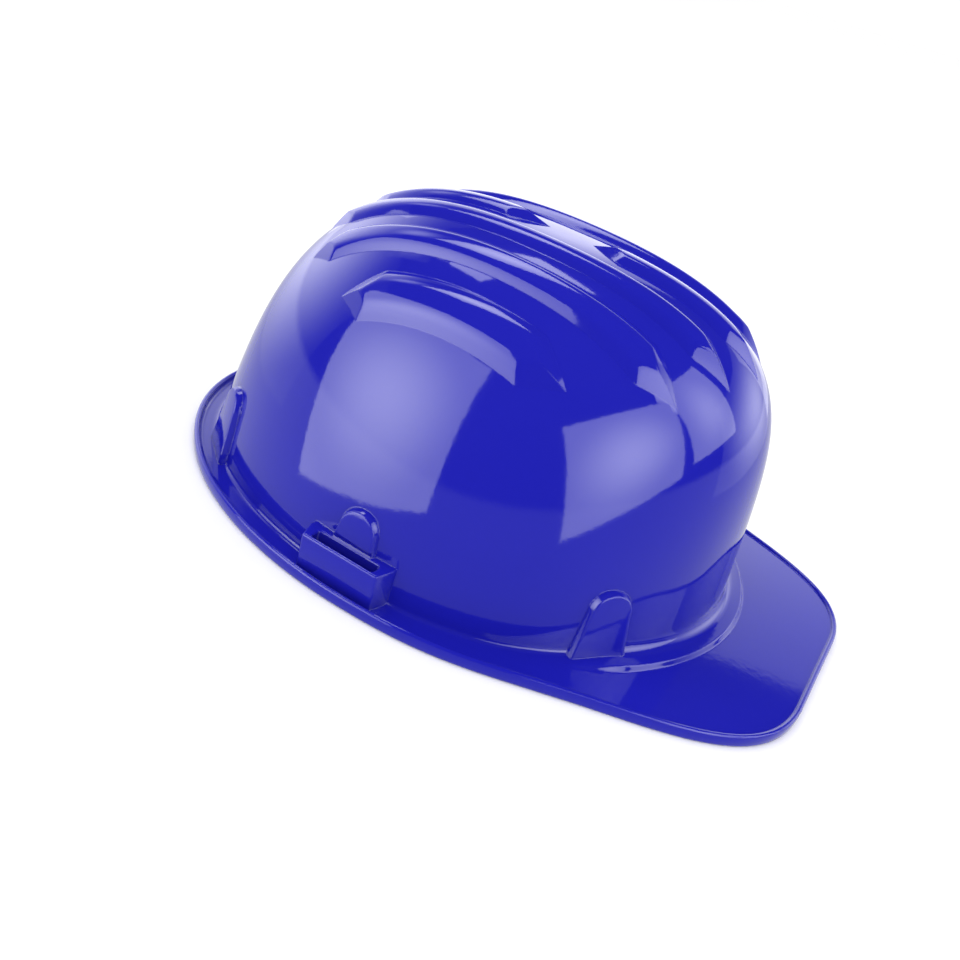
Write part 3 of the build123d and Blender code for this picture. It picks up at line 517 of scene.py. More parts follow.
def sweep(name, centres, sides, normals, sections):
    """A closed section (across, out) carried along a path, capped, with a UV map in metres."""
    rows, columns = len(centres), sections.shape[1]
    points = (centres[:, None] + sides[:, None] * sections[:, :, :1] + normals[:, None] * sections[:, :, 1:])
    faces = grid_faces(rows, columns, closed=True)
    faces += [tuple(range(columns))[::-1], tuple((rows - 1) * columns + i for i in range(columns))]
    obj = mesh_object(name, points.reshape(-1, 3), faces)
    around = lengths(np.concatenate([sections[rows // 2], sections[rows // 2][:1]])) * MM
    along = lengths(centres) * MM
    layer = obj.data.uv_layers.new(name="metres")
    for polygon in obj.data.polygons[:(rows - 1) * columns]:
        i, j = divmod(polygon.index, columns)
        corners = {i * columns + j: (j, i), i * columns + (j + 1) % columns: (j + 1, i),
                   (i + 1) * columns + (j + 1) % columns: (j + 1, i + 1), (i + 1) * columns + j: (j, i + 1)}
        for loop in polygon.loop_indices:
            column, row = corners[obj.data.loops[loop].vertex_index]
            layer.data[loop].uv = (around[column], along[row])
    return make_outward(obj)


def join(obj, others):
    """Joins other meshes into the first, keeping their materials."""
    with bpy.context.temp_override(active_object=obj, selected_editable_objects=[obj, *others]):
        bpy.ops.object.join()
    return obj


def thread(name, runs, radius, yarn):
    """Sewn stitches: each run is a start, an end and the way out of the cloth."""
    points, faces = [], []
    count = 6
    # along the stitch, thickness, and height above the cloth, in shares of its length and radius
    rings = [(0.0, 0.25, -0.6), (0.18, 0.9, 0.15), (0.5, 1.0, 0.5), (0.82, 0.9, 0.15), (1.0, 0.25, -0.6)]
    for a, b, normal in runs:
        a, b, normal = np.array(a, float), np.array(b, float), np.array(normal, float)
        forward = unit(b - a)
        side = np.cross(forward, normal)
        start = len(points)
        for share, size, lift in rings:
            centre = a + (b - a) * share + normal * lift * radius
            for k in range(count):
                turn = 2 * math.pi * k / count
                points.append(centre + (side * math.cos(turn) + normal * math.sin(turn)) * radius * size)
        faces += grid_faces(len(rings), count, closed=True, start=start)
        faces.append(tuple(start + k for k in range(count))[::-1])
        faces.append(tuple(start + (len(rings) - 1) * count + k for k in range(count)))
    return dress(make_outward(mesh_object(name, points, faces)), yarn)


def sewn_line(a, b, stitch=2.3, gap=0.7):
    """Where the stitches of a straight seam from a to b start and end."""
    a, b = np.array(a, float), np.array(b, float)
    length = np.linalg.norm(b - a)
    count = max(int(length / (stitch + gap)), 1)
    share = stitch / (stitch + gap) / count
    return [(a + (b - a) * (i / count), a + (b - a) * (i / count + share)) for i in range(count)]


# ---- crown straps
def strap_end(foot, out, leg_inset):
    """The webbing's loop round the top of a key's plate, from the sewn tail to the inside leg."""
    route = [(leg_inset - 1.45, 31.0), (leg_inset - 1.9, 29.4), (9.3, 28.3), (8.3, 27.9), (8.12, 26.6),
             (8.1, 23.6), (8.12, 20.9), (8.5, 19.8), (9.5, 19.45), (10.5, 19.5), (leg_inset - 0.25, 20.7),
             (leg_inset, 22.6)]
    return [foot - out * inset + Vector((0, 0, z)) for inset, z in route]


def strap_path(layer, first, second):
    """Centre line of one crown strap and the way its width runs at every point."""
    ends, feet = [], []
    (foot_a, along_a, out_a), (foot_b, along_b, out_b) = station(*first), station(*second)
    line = (foot_b - foot_a).normalized()
    for foot, out in ((foot_a, out_a), (foot_b, out_b)):
        turn = abs(out.cross(line).z) / abs(out.dot(line))
        inset = PLATE_INNER + WEB_THICKNESS / 2 + PLATE_WIDTH / 2 * turn
        feet.append((foot, out, inset))
        ends.append(foot - out * inset)
    middle = (ends[0] + ends[1]) / 2 + Vector((0, 0, STRAP_SHOULDER))
    across = (ends[1] - ends[0]) / 2
    rise = STRAP_RISE + layer * STRAP_LAYER

    # the strap's arch from end to end; the lift raises the sewn tail off it
    def main(turn, lift=0.0):
        push = -across.normalized() * math.cos(turn) * lift + Vector((0, 0, lift * math.sin(turn)))
        return middle - across * math.cos(turn) + Vector((0, 0, rise * math.sin(turn))) + push

    near_tail, far_tail = [[main(math.radians(abs(start - t)), TAIL_LIFT) for t in (26, 21, 16, 11)]
                           for start in (0, 180)]
    middle_run = [main(t) for t in np.radians(np.linspace(2, 178, 60))]
    route = near_tail + strap_end(*feet[0]) + middle_run + strap_end(*feet[1])[::-1] + far_tail[::-1]
    centres = resample([tuple(p) for p in route], 0.75)
    tangents = unit(np.gradient(centres, axis=0))
    level = np.array(across.normalized().cross(Vector((0, 0, 1))))
    starts = [np.array(along * (1 if along.dot(Vector(level)) > 0 else -1)) for along in (along_a, along_b)]
    run = lengths(centres)
    near = [smooth_step(run, 38, 75)[:, None], smooth_step(run[-1] - run, 38, 75)[:, None]]
    sides = level * near[0] * near[1] + starts[0] * (1 - near[0]) + starts[1] * (1 - near[1])
    sides = unit(sides - tangents * np.sum(sides * tangents, axis=1, keepdims=True))
    return centres, sides, np.cross(tangents, sides), run


def web_section(wide, thick):
    """Flat webbing's section: rounded selvages, a little thicker than the middle."""
    half, flat = wide / 2, np.linspace(-1, 1, 9)
    top = [(half * 0.93 * t, thick / 2 * (1 - 0.06 * (1 - t * t))) for t in flat]
    right = [(half * wide_share, thick * high_share)
             for wide_share, high_share in ((0.985, 0.42), (1, 0.1), (1, -0.1), (0.985, -0.42))]
    bottom = [(x, -y) for x, y in top[::-1]]
    left = [(-x, -y) for x, y in right]
    return np.array(top + right + bottom + left)


def make_strap(name, layer, first, second, cloth, yarn):
    centres, sides, normals, run = strap_path(layer, first, second)
    edge = np.minimum(run, run[-1] - run)
    squeezed = 1 - 0.30 * smooth_step(edge, 20, 24) * (1 - smooth_step(edge, 37, 42))
    section = web_section(WEB_WIDTH, WEB_THICKNESS)
    sections = section[None] * np.stack([np.ones_like(run), squeezed], axis=1)[:, None, :]
    strap = sweep(name, centres, sides, normals, sections)

    def at(distance, across, lift):
        i = int(np.argmin(np.abs(run - distance)))
        return centres[i] + sides[i] * across + normals[i] * lift, normals[i]

    def beside(distance, first, last):
        """Where the leg lies against the tail at this distance along the tail."""
        tail = centres[int(np.argmin(np.abs(run - distance)))]
        leg = np.where((run > first) & (run < last), np.linalg.norm(centres - tail, axis=1), np.inf)
        return run[int(np.argmin(leg))]

    runs = []
    low, high, wide = 3.0, 15.5, 6.8
    corners = [(low, -wide), (low, wide), (high, wide), (high, -wide)]
    seams = list(zip(corners, corners[1:] + corners[:1]))
    seams += [(corners[0], corners[2]), (corners[1], corners[3])]
    lift = WEB_THICKNESS / 2 + 0.02
    total = run[-1]
    for a, b in seams:
        for stitch in sewn_line(a, b):
            for turned in (False, True):
                tail = [(total - d if turned else d, across) for d, across in stitch]
                span = (total - 85, total - 35) if turned else (35, 85)
                leg = [(beside(d, *span), across) for d, across in tail]
                for face in (tail, leg):
                    (p, normal), (q, _) = at(*face[0], lift), at(*face[1], lift)
                    runs.append((p, q, normal))
    return join(dress(strap, cloth), [thread(name + "_thread", runs, 0.24, yarn)])


# ---- headband, sweatband and nape pad
def pin_hole(place, out, radius):
    """Cutter for a round hole through the headband."""
    turn = np.linspace(0, 2 * math.pi, 33)[:-1]
    outline = np.stack([radius * np.cos(turn), radius * np.sin(turn)], axis=1)
    along = Vector((0, 0, 1)).cross(out)
    return stacked("pin_hole", outline, [(0, -PIN_REACH), (0, PIN_REACH)],
                   lambda u, v, h: place + along * u + Vector((0, 0, v)) + out * h)


def band_path(end, count):
    """Inside line of the headband round the front, to the angle end past each side, with its frame."""
    turn = np.linspace(-math.pi - end, end, count)
    ring = np.stack([np.cos(turn), np.sin(turn), np.zeros_like(turn)], axis=1)
    centres = ring * [BAND_SIDE, BAND_FRONT, 0]
    upright = np.tile([0.0, 0.0, 1.0], (count, 1))
    return centres, upright, unit(ring / [BAND_SIDE, BAND_FRONT, 1]), lengths(centres)


def make_headband():
    """Plastic band with beaded edges, two long ribs and rounded tails, pierced for pegs and pivots."""
    end = math.asin(BAND_TAIL / (BAND_FRONT + BAND_THICKNESS))
    centres, upright, outward, run = band_path(end, 480)
    middle, half = (BAND_LOW + BAND_HIGH) / 2, (BAND_HIGH - BAND_LOW) / 2
    close = np.clip(np.minimum(run, run[-1] - run) / BAND_ROUND, 0, 1)
    tallness = half - BAND_ROUND * (1 - np.sqrt(1 - (1 - close) ** 2))
    level = np.linspace(-1, 1, 57)
    sections = np.zeros((len(run), 2 * len(level), 2))
    for i, tall in enumerate(tallness):
        z = level * tall
        bead = 0.32 * np.exp(-((tall - np.abs(z) - 1.1) / 0.7) ** 2)
        rib = 0.28 * np.exp(-((np.abs(z) - 4.2) / 0.55) ** 2) * (close[i] >= 1)
        edge = 0.45 * np.clip(1 - (tall - np.abs(z)) / 0.5, 0, 1) ** 2
        thick = BAND_THICKNESS - 0.25
        sections[i, :len(z)] = np.stack([middle + z, thick + bead + rib - edge], axis=1)
        sections[i, len(z):] = np.stack([middle + z[::-1], 0.05 + edge[::-1]], axis=1)
    band = sweep("headband_moulding", centres, upright, outward, sections)
    for side in SIDES.values():
        for corner in ("front", "side"):
            foot, _, out = station(corner, side)
            place = foot - out * PEG_INSET + Vector((0, 0, PEG_Z))
            cut_or_join(band, pin_hole(place, out, PEG_HOLE), "DIFFERENCE")
        place = Vector((side * BAND_SIDE, PIVOT_Y, PIVOT_Z))
        cut_or_join(band, pin_hole(place, Vector((side, 0, 0)), PIVOT_HOLE), "DIFFERENCE")
    return band


def make_sweatband(leather, yarn):
    """Foam-backed band: thin sewn edges, a crowned middle and tapered ends, inside the headband."""
    centres, upright, outward, run = band_path(math.asin(SWEAT_TAIL / BAND_FRONT), 420)
    inward = -outward
    middle, half = (SWEAT_LOW + SWEAT_HIGH) / 2, (SWEAT_HIGH - SWEAT_LOW) / 2
    seam = half - SWEAT_HEM
    z = np.linspace(-half, half, 41)
    close = np.clip(np.minimum(run, run[-1] - run) / SWEAT_TAPER, 0, 1)
    puff = np.sqrt(1 - (1 - close) ** 2)
    sections = np.zeros((len(run), len(z) + 3, 2))
    for i in range(len(run)):
        inside = np.clip(np.abs(z) / seam, 0, 1)
        crown = SWEAT_CROWN * puff[i] * (1 - inside ** 3.2) ** 0.7
        pucker = 0.10 * np.sin(2 * math.pi * run[i] / 5.6) * np.exp(-((np.abs(z) - seam + 2.2) / 1.6) ** 2)
        drift = 0.16 * np.sin(run[i] / 17.0) * np.cos(z / 7.0) * puff[i] * (inside < 1)
        welt = 0.35 * np.exp(-((np.abs(z) - seam - 1.8) / 1.1) ** 2)
        face = 0.75 + crown + (pucker + drift) * (crown > 0.2) + welt
        face[[0, -1]] -= 0.30
        sections[i, :len(z), 0] = middle + z
        sections[i, :len(z), 1] = face
        sections[i, len(z):] = [(SWEAT_HIGH - 0.3, 0.12), (middle, 0.08), (SWEAT_LOW + 0.3, 0.12)]
    band = sweep("sweatband_pad", centres, upright, inward, sections)
    stitch, gap = 2.6, 0.9
    runs = []
    for level in (-seam, seam):
        for start in np.arange(5.0, run[-1] - 7.0, stitch + gap):
            a, b = [int(np.searchsorted(run, d)) for d in (start, start + stitch)]
            place = [centres[i] + upright[i] * (middle + level) + inward[i] * 0.86 for i in (a, b)]
            runs.append((place[0], place[1], inward[a]))
    return join(dress(band, leather), [thread("sweatband_thread", runs, 0.26, yarn)])


def make_nape_pad(knit, yarn):
    """Crowned cushion, pulled in between its corners, with a piped edge and two sewn channels."""
    count = 61
    u, v = np.meshgrid(np.linspace(-1, 1, count), np.linspace(-1, 1, count), indexing="ij")
    # the square grid becomes a rounded oblong, pulled in along its sides
    square = 0.30
    x = u * np.sqrt(1 - square * v * v / 2)
    z = v * np.sqrt(1 - square * u * u / 2)
    pull = 0.045
    x = PAD_HALF * x * (1 - pull * np.cos(v * math.pi / 2) ** 2)
    z = PAD_HEIGHT / 2 * z * (1 - 1.4 * pull * np.cos(u * math.pi / 2) ** 2)
    fall = (1 - np.abs(u) ** 5) * (1 - np.abs(v) ** 3.4)
    height = PAD_CROWN * np.clip(fall, 0, 1) ** 0.42
    channel = np.exp(-((np.abs(x) - PAD_CHANNEL) / 0.95) ** 2)
    height *= 1 - 0.42 * channel * (1 - v ** 6)
    crease = np.sin(z * 1.9 + 3 * np.sin(x * 0.9)) * np.exp(-((np.abs(x) - PAD_CHANNEL) / 3.0) ** 2)
    height += 0.12 * crease * (fall > 0.15)
    points = [np.stack([x.ravel(), (PAD_BACK - 1.2 - height).ravel(), (PAD_MIDDLE + z).ravel()], axis=1),
              np.stack([x.ravel(), np.full(x.size, PAD_BACK - 0.05), (PAD_MIDDLE + z).ravel()], axis=1)]
    faces, rim = slab_faces(count, count)
    pad = make_outward(mesh_object("nape_cushion", np.concatenate(points), faces))
    dress(pad, knit, 50)
    edge = points[0][rim[:1] + rim[:0:-1] + rim[:1]]
    edge[:, 1] = PAD_BACK - 1.0
    path = resample(edge, 0.8)[:-1]
    ahead = unit(np.roll(path, -1, axis=0) - np.roll(path, 1, axis=0))
    facing = np.tile([0.0, -1.0, 0.0], (len(path), 1))
    beside = unit(np.cross(ahead, facing))
    turns = np.linspace(0, 2 * math.pi, 9)[:-1]
    skin = [path + (beside * math.cos(turn) + facing * math.sin(turn)) * PIPING_RADIUS for turn in turns]
    faces = grid_faces(len(path), len(turns), closed=True, ring=True)
    piping = make_outward(mesh_object("nape_piping", np.stack(skin, axis=1).reshape(-1, 3), faces))
    dress(piping, yarn)
    runs = []
    for middle in (-PAD_CHANNEL, PAD_CHANNEL):
        for a, b in sewn_line((middle, -11.0), (middle, 11.0), 2.1, 0.8):
            ends = []
            for across, up in (a, b):
                near = int(np.argmin((x - across) ** 2 + (z - up) ** 2))
                ends.append(points[0][near] - [0, 0.05, 0])
            runs.append((ends[0], ends[1], (0, -1, 0)))
    return join(pad, [piping, thread("nape_thread", runs, 0.22, yarn)])


# ---- materials
def new_material(name, roughness=0.5):
    material = bpy.data.materials.new(name)
    material.use_nodes = True
    shader = material.node_tree.nodes["Principled BSDF"]
    shader.inputs["Roughness"].default_value = roughness
    return material, shader


def add_node(owner, kind, values=(), **settings):
    """A new node in a material, light or world, its settings and its (input, value) pairs set."""
    made = owner.node_tree.nodes.new(kind)
    for key, value in settings.items():
        setattr(made, key, value)
    for key, value in values:
        made.inputs[key].default_value = value
    return made


def link(owner, source, target):
    owner.node_tree.links.new(source, target)


def texture(material, kind, space, values, **settings):
    """A texture node, laid out in one of the spaces that the coordinates node offers."""
    place = add_node(material, "ShaderNodeTexCoord")
    made = add_node(material, kind, values, **settings)
    link(material, place.outputs[space], made.inputs["Vector"])
    return made


def noise(material, scale, detail):
    pattern = texture(material, "ShaderNodeTexNoise", "Object", [("Scale", scale), ("Detail", detail)])
    return pattern.outputs["Fac"]


def tones(material, shader, source, positions, colours):
    """Base colour from one tone to another as the source goes between two positions."""
    ramp = add_node(material, "ShaderNodeValToRGB")
    for element, position, colour in zip(ramp.color_ramp.elements, positions, colours):
        element.position, element.color = position, (*colour, 1)
    link(material, source, ramp.inputs["Fac"])
    link(material, ramp.outputs["Color"], shader.inputs["Base Color"])


def cloudy_colour(material, shader, low, high, scale):
    """Base colour that drifts between two close tones."""
    tones(material, shader, noise(material, scale, 3.0), (0.32, 0.68), (low, high))


def sheen(shader, weight, roughness):
    shader.inputs["Sheen Weight"].default_value = weight
    shader.inputs["Sheen Roughness"].default_value = roughness


def grain(material, shader, height, strength, depth, rounding=0.0004):
    """Bump from a height output, over edges that are rounded a little."""
    bump = add_node(material, "ShaderNodeBump", [("Strength", strength), ("Distance", depth)])
    link(material, height, bump.inputs["Height"])
    if rounding:
        edge = add_node(material, "ShaderNodeBevel", [("Radius", rounding)], samples=6)
        link(material, edge.outputs["Normal"], bump.inputs["Normal"])
    link(material, bump.outputs["Normal"], shader.inputs["Normal"])


def varied_roughness(material, shader, scale, low, high):
    spread = add_node(material, "ShaderNodeMapRange", [("To Min", low), ("To Max", high)])
    link(material, noise(material, scale, 4.0), spread.inputs["Value"])
    link(material, spread.outputs["Result"], shader.inputs["Roughness"])


def shell_material():
    """Glossy injection moulded plastic: deep ultramarine, faint orange peel, rounded edges."""
    material, shader = new_material("shell_blue_plastic", 0.06)
    shader.inputs["IOR"].default_value = 1.52
    cloudy_colour(material, shader, (0.0105, 0.0115, 0.385), (0.0135, 0.0140, 0.415), 9.0)
    varied_roughness(material, shader, 26.0, 0.035, 0.085)
    grain(material, shader, noise(material, 420.0, 1.0), 0.03, 0.0003, 0.0006)
    return material


def moulded_material(name, low, high, roughness, pits=900.0, depth=0.00012, rounding=0.00035):
    """Satin moulded plastic with a fine eroded texture."""
    material, shader = new_material(name, roughness)
    cloudy_colour(material, shader, low, high, 60.0)
    varied_roughness(material, shader, 140.0, roughness - 0.08, roughness + 0.08)
    grain(material, shader, noise(material, pits, 2.0), 0.35, depth, rounding)
    return material


def steel_material():
    material, shader = new_material("zinc_plated_steel", 0.32)
    shader.inputs["Metallic"].default_value = 1.0
    cloudy_colour(material, shader, (0.42, 0.43, 0.45), (0.60, 0.61, 0.62), 240.0)
    grain(material, shader, noise(material, 1500.0, 2.0), 0.2, 0.00005, 0.0002)
    return material


def woven_height(material, pitch):
    """Height of a plain weave over and under, from the piece's UV map in metres."""
    place = add_node(material, "ShaderNodeTexCoord")
    parts = add_node(material, "ShaderNodeSeparateXYZ")
    link(material, place.outputs["UV"], parts.inputs["Vector"])
    cells = texture(material, "ShaderNodeTexChecker", "UV", [("Scale", 1 / pitch)])
    weave = add_node(material, "ShaderNodeMix", data_type="FLOAT")
    link(material, cells.outputs["Fac"], weave.inputs[0])
    for axis, yarns in (("X", 2), ("Y", 3)):
        height = parts.outputs[axis]
        for operation in ("MULTIPLY", "SINE", "ABSOLUTE"):
            factor = [(1, math.pi / pitch)] if operation == "MULTIPLY" else []
            step = add_node(material, "ShaderNodeMath", factor, operation=operation)
            link(material, height, step.inputs[0])
            height = step.outputs[0]
        link(material, height, weave.inputs[yarns])
    return weave.outputs[0]


def woven_material(name, gap_shade, light, pitch, depth):
    """Woven yarn: each crossing rounded, its gaps darkened with painted shade, with a soft sheen."""
    material, shader = new_material(name, 0.82)
    sheen(shader, 0.25, 0.5)
    height = woven_height(material, pitch)
    # painted shade: the colour darkens from the raised crossings down into the gaps of the weave
    tones(material, shader, height, (0.1, 0.9), (gap_shade, light))
    grain(material, shader, height, 0.9, depth, 0)
    return material


def perforated_material():
    """Leatherette: fine pebbled grain, with rows of small shaded dimples for the punched holes."""
    material, shader = new_material("perforated_leatherette", 0.5)
    holes = texture(material, "ShaderNodeTexVoronoi", "UV", [("Scale", 240.0), ("Randomness", 0.0)],
                    voronoi_dimensions="2D")
    ring = add_node(material, "ShaderNodeMapRange", [("From Min", 0.14), ("From Max", 0.24)])
    link(material, holes.outputs["Distance"], ring.inputs["Value"])
    tones(material, shader, ring.outputs["Result"], (0.0, 1.0), ((0.004,) * 3, (0.036, 0.036, 0.039)))
    pebble = texture(material, "ShaderNodeTexVoronoi", "Object", [("Scale", 1500.0)])
    mix = add_node(material, "ShaderNodeMath", [(1, 0.25)], operation="MULTIPLY_ADD")
    link(material, pebble.outputs["Distance"], mix.inputs[0])
    link(material, ring.outputs["Result"], mix.inputs[2])
    grain(material, shader, mix.outputs[0], 0.6, 0.0003, 0)
    return material


def knit_material():
    """Fine warp knit: small staggered loops, black, with painted shade where the loops meet and a soft
    sheen.
    """
    material, shader = new_material("black_warp_knit", 0.9)
    sheen(shader, 0.35, 0.4)
    loops = texture(material, "ShaderNodeTexVoronoi", "Object", [("Scale", 1100.0), ("Randomness", 0.35)])
    # painted shade: each loop darkens towards its edges, where it meets the next loop
    tones(material, shader, loops.outputs["Distance"], (0.15, 0.75), ((0.040,) * 3, (0.012,) * 3))
    turned = add_node(material, "ShaderNodeMath", [(0, 1.0)], operation="SUBTRACT")
    link(material, loops.outputs["Distance"], turned.inputs[1])
    grain(material, shader, turned.outputs[0], 0.8, 0.0003, 0)
    return material


def floor_material():
    material, shader = new_material("studio_floor", 0.9)
    shader.inputs["Base Color"].default_value = (0.98, 0.98, 0.98, 1)
    shader.inputs["Specular IOR Level"].default_value = 0.1
    return material


# ---- stage, lights and camera
AIM = Vector((0.0, 0.01319, 0.00857))
CAMERA_DISTANCE, CAMERA_LENS = 0.43012, 37.34
TO_CAMERA = Vector((-0.8043, -0.3292, 0.4947)).normalized()
CAMERA_ROLL = math.radians(16.83)
FLOOR_RADIUS, FLOOR_GAP = 12.0, 0.0002
WORLD_PALE, WORLD_DIM = 1.06, 0.06
FRONT_AZIMUTH, FLOOR_FAR, FLOOR_NEAR = 292, 1.05, 0.45
LIGHT_DISTANCE = 1.1
# Softboxes: azimuth and elevation from the hat, angular width and height, roll, and radiance at
# edge and core.
SOFTBOXES = [
    ("box_rear_right", 236, 13, 52, 54, 12, 2.7, 6.2),
    ("box_front_right", 325, 18, 44, 42, 18, 2.7, 6.0),
    ("box_front", 6, 32, 30, 44, 10, 2.7, 5.0),
    ("box_far_front", 44, 12, 60, 44, 0, 0.3, 3.2),
    ("box_far_low", 104, 13, 76, 42, 0, 0.9, 2.9),
    ("box_far_rear", 164, 14, 76, 56, 0, 0.1, 3.0),
    ("box_rear_top", 166, 43, 22, 14, 0, 0.2, 2.4),
    ("box_far_top", 147, 62, 34, 18, 0, 4.0, 6.5),
]


def make_camera():
    data = bpy.data.cameras.new("camera")
    data.lens, data.sensor_width = CAMERA_LENS, 36.0
    data.clip_start, data.clip_end = 0.01, 60.0
    camera = bpy.data.objects.new("camera", data)
    bpy.context.scene.collection.objects.link(camera)
    level_right = Vector((0, 0, 1)).cross(TO_CAMERA).normalized()
    level_up = TO_CAMERA.cross(level_right)
    right = level_right * math.cos(CAMERA_ROLL) + level_up * math.sin(CAMERA_ROLL)
    up = level_up * math.cos(CAMERA_ROLL) - level_right * math.sin(CAMERA_ROLL)
    turn = Matrix((right, up, TO_CAMERA)).transposed().to_4x4()
    camera.matrix_world = Matrix.Translation(AIM + TO_CAMERA * CAMERA_DISTANCE) @ turn
    bpy.context.scene.camera = camera


def direction(azimuth, elevation):
    a, e = math.radians(azimuth), math.radians(elevation)
    return Vector((math.sin(a) * math.cos(e), -math.cos(a) * math.cos(e), math.sin(e)))


def panel(name, azimuth, elevation, wide, high, roll, distance):
    """An area light, seen from the hat under those angles, facing it."""
    target = Vector((0, HAT_Y * MM, 0.05))
    back = direction(azimuth, elevation)
    data = bpy.data.lights.new(name, "AREA")
    data.shape = "RECTANGLE"
    data.size = 2 * distance * math.tan(math.radians(wide / 2))
    data.size_y = 2 * distance * math.tan(math.radians(high / 2))
    lamp = bpy.data.objects.new(name, data)
    side = Vector((0, 0, 1)).cross(back).normalized()
    turn = Matrix((side, back.cross(side), back)).transposed().to_4x4()
    roll = Matrix.Rotation(math.radians(roll), 4, "Z")
    lamp.matrix_world = Matrix.Translation(target + back * distance) @ turn @ roll
    lamp.visible_camera = False
    bpy.context.scene.collection.objects.link(lamp)
    return lamp


def softbox(name, azimuth, elevation, wide, high, roll, edge, core):
    """A softbox for reflections, brighter towards its middle."""
    lamp = panel(name, azimuth, elevation, wide, high, roll, LIGHT_DISTANCE)
    lamp.visible_diffuse = False
    data = lamp.data
    data.energy = data.size * data.size_y * math.pi
    data.use_nodes = True
    place = add_node(data, "ShaderNodeNewGeometry")
    middle = add_node(data, "ShaderNodeVectorMath", [(1, (0.5, 0.5, 0))], operation="DISTANCE")
    fall = add_node(data, "ShaderNodeMapRange", [("From Max", 0.55), ("To Min", core), ("To Max", edge)],
                    interpolation_type="SMOOTHSTEP")
    link(data, place.outputs["Parametric"], middle.inputs[0])
    link(data, middle.outputs["Value"], fall.inputs["Value"])
    link(data, fall.outputs["Result"], data.node_tree.nodes["Emission"].inputs["Strength"])


def fill(name, azimuth, elevation, wide, high, distance, radiance):
    """A soft light that isn't mirrored in gloss."""
    lamp = panel(name, azimuth, elevation, wide, high, 0, distance)
    lamp.visible_glossy = False
    lamp.data.energy = radiance * lamp.data.size * lamp.data.size_y * math.pi


def mirrored_world(world):
    """Strength of the surroundings in gloss: dim above, a pale floor below, less so in front."""
    way = add_node(world, "ShaderNodeTexCoord").outputs["Generated"]
    parts = add_node(world, "ShaderNodeSeparateXYZ")
    facing = add_node(world, "ShaderNodeVectorMath", [(1, direction(FRONT_AZIMUTH, 0))],
                      operation="DOT_PRODUCT")
    floor = add_node(world, "ShaderNodeMapRange", [("From Min", -0.3), ("From Max", 0.95),
                                                   ("To Min", FLOOR_FAR), ("To Max", FLOOR_NEAR)])
    below = add_node(world, "ShaderNodeMapRange", [("From Min", 0.015), ("From Max", -0.02)])
    mix = add_node(world, "ShaderNodeMix", [(2, WORLD_DIM)])
    link(world, way, parts.inputs[0])
    link(world, way, facing.inputs[0])
    link(world, facing.outputs["Value"], floor.inputs["Value"])
    link(world, parts.outputs["Z"], below.inputs["Value"])
    link(world, below.outputs["Result"], mix.inputs[0])
    link(world, floor.outputs["Result"], mix.inputs[3])
    return mix.outputs[0]


def make_stage():
    count = 128
    ring = [direction(360 * i / count, 0) * FLOOR_RADIUS for i in range(count)]
    mesh = bpy.data.meshes.new("studio_floor")
    mesh.from_pydata([(p.x, p.y, -FLOOR_GAP) for p in ring], [], [range(count)])
    floor = bpy.data.objects.new("studio_floor", mesh)
    bpy.context.scene.collection.objects.link(floor)
    floor.data.materials.append(floor_material())
    floor.visible_glossy = False         # gloss sees the world's pale lower half instead
    world = bpy.data.worlds.new("studio")
    bpy.context.scene.world = world
    world.use_nodes = True
    pale = world.node_tree.nodes["Background"]
    pale.inputs["Color"].default_value = (WORLD_PALE, WORLD_PALE, WORLD_PALE, 1)
    dim = add_node(world, "ShaderNodeBackground")
    link(world, mirrored_world(world), dim.inputs["Strength"])
    rays, mix = add_node(world, "ShaderNodeLightPath"), add_node(world, "ShaderNodeMixShader")
    link(world, rays.outputs["Is Glossy Ray"], mix.inputs[0])
    link(world, pale.outputs[0], mix.inputs[1])
    link(world, dim.outputs[0], mix.inputs[2])
    link(world, mix.outputs[0], world.node_tree.nodes["World Output"].inputs[0])
    for row in SOFTBOXES:
        softbox(*row)
    fill("fill_top", FRONT_AZIMUTH, 80, 64, 64, 1.9, 0.6)
    bpy.context.scene.view_settings.view_transform = "Standard"


def settle(obj, body, node):
    """The body that a new piece rides and the CAD node that it stands for."""
    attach(obj, body)
    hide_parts(node)
    return obj


def paint(material, *nodes):
    """Gives carried-over CAD nodes their finish."""
    for node in nodes:
        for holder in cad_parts[node].material_slots:
            holder.material = material


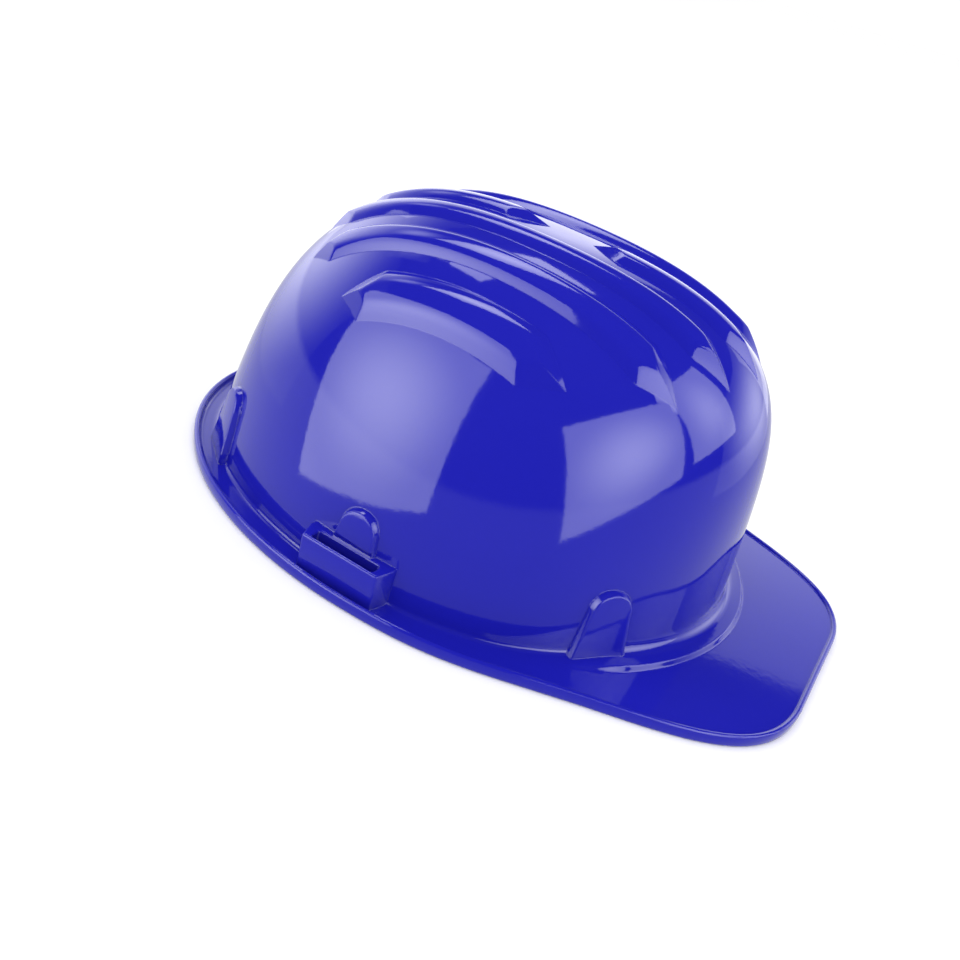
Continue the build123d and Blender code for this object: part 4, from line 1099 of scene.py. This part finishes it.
make_camera()
make_stage()
settle(dress(make_shell(), shell_material(), MOULDED_ANGLE), "root", "shell")

white_plastic = moulded_material("natural_white_plastic", (0.66, 0.66, 0.63), (0.74, 0.74, 0.71), 0.42)
black_plastic = moulded_material("black_satin_plastic", (0.013, 0.013, 0.015), (0.026, 0.026, 0.029), 0.40)
ratchet_plastic = moulded_material("black_textured_plastic", (0.016, 0.016, 0.018), (0.030, 0.030, 0.033),
                                   0.52, pits=1300.0, depth=0.0002)
knob_plastic = moulded_material("black_grip_plastic", (0.012, 0.012, 0.013), (0.022, 0.022, 0.024), 0.60,
                                pits=700.0, depth=0.0003)
acetal = moulded_material("white_acetal", (0.64, 0.64, 0.61), (0.72, 0.72, 0.69), 0.30, pits=1800.0,
                          depth=0.00005, rounding=0.0002)
rivet_plastic = moulded_material("black_rivet_plastic", (0.020, 0.020, 0.022), (0.036, 0.036, 0.040), 0.35)
steel = steel_material()
webbing = woven_material("grey_polyester_webbing", (0.016, 0.017, 0.020), (0.085, 0.088, 0.098),
                         pitch=0.00115, depth=0.00035)
yarn = moulded_material("grey_sewing_thread", (0.16, 0.16, 0.17), (0.24, 0.24, 0.25), 0.7, pits=2600.0,
                        depth=0.0002, rounding=0)

paint(white_plastic, *[f"key_{corner}_{side}" for corner in POCKET_ANGLES for side in SIDES])
paint(black_plastic, "nape_arm_left", "nape_arm_right")
settle(dress(make_headband(), black_plastic, MOULDED_ANGLE), "root", "headband")
paint(rivet_plastic, "pivot_rivet_left", "pivot_rivet_right", "arm_rivets")
paint(ratchet_plastic, "ratchet_base", "ratchet_cover")
paint(knob_plastic, "knob")
paint(acetal, "rack_left", "rack_right", "pinion")
paint(steel, "cover_screws", "knob_screw", "detent_spring")

for layer, (name, first, second) in enumerate(STRAPS):
    settle(make_strap(name + "_webbing", layer, first, second, webbing, yarn), "root", name)
sweatband = settle(make_sweatband(perforated_material(), yarn), "root", "sweatband")
nape_pad = settle(make_nape_pad(knit_material(), yarn), "nape_cradle", "nape_pad")
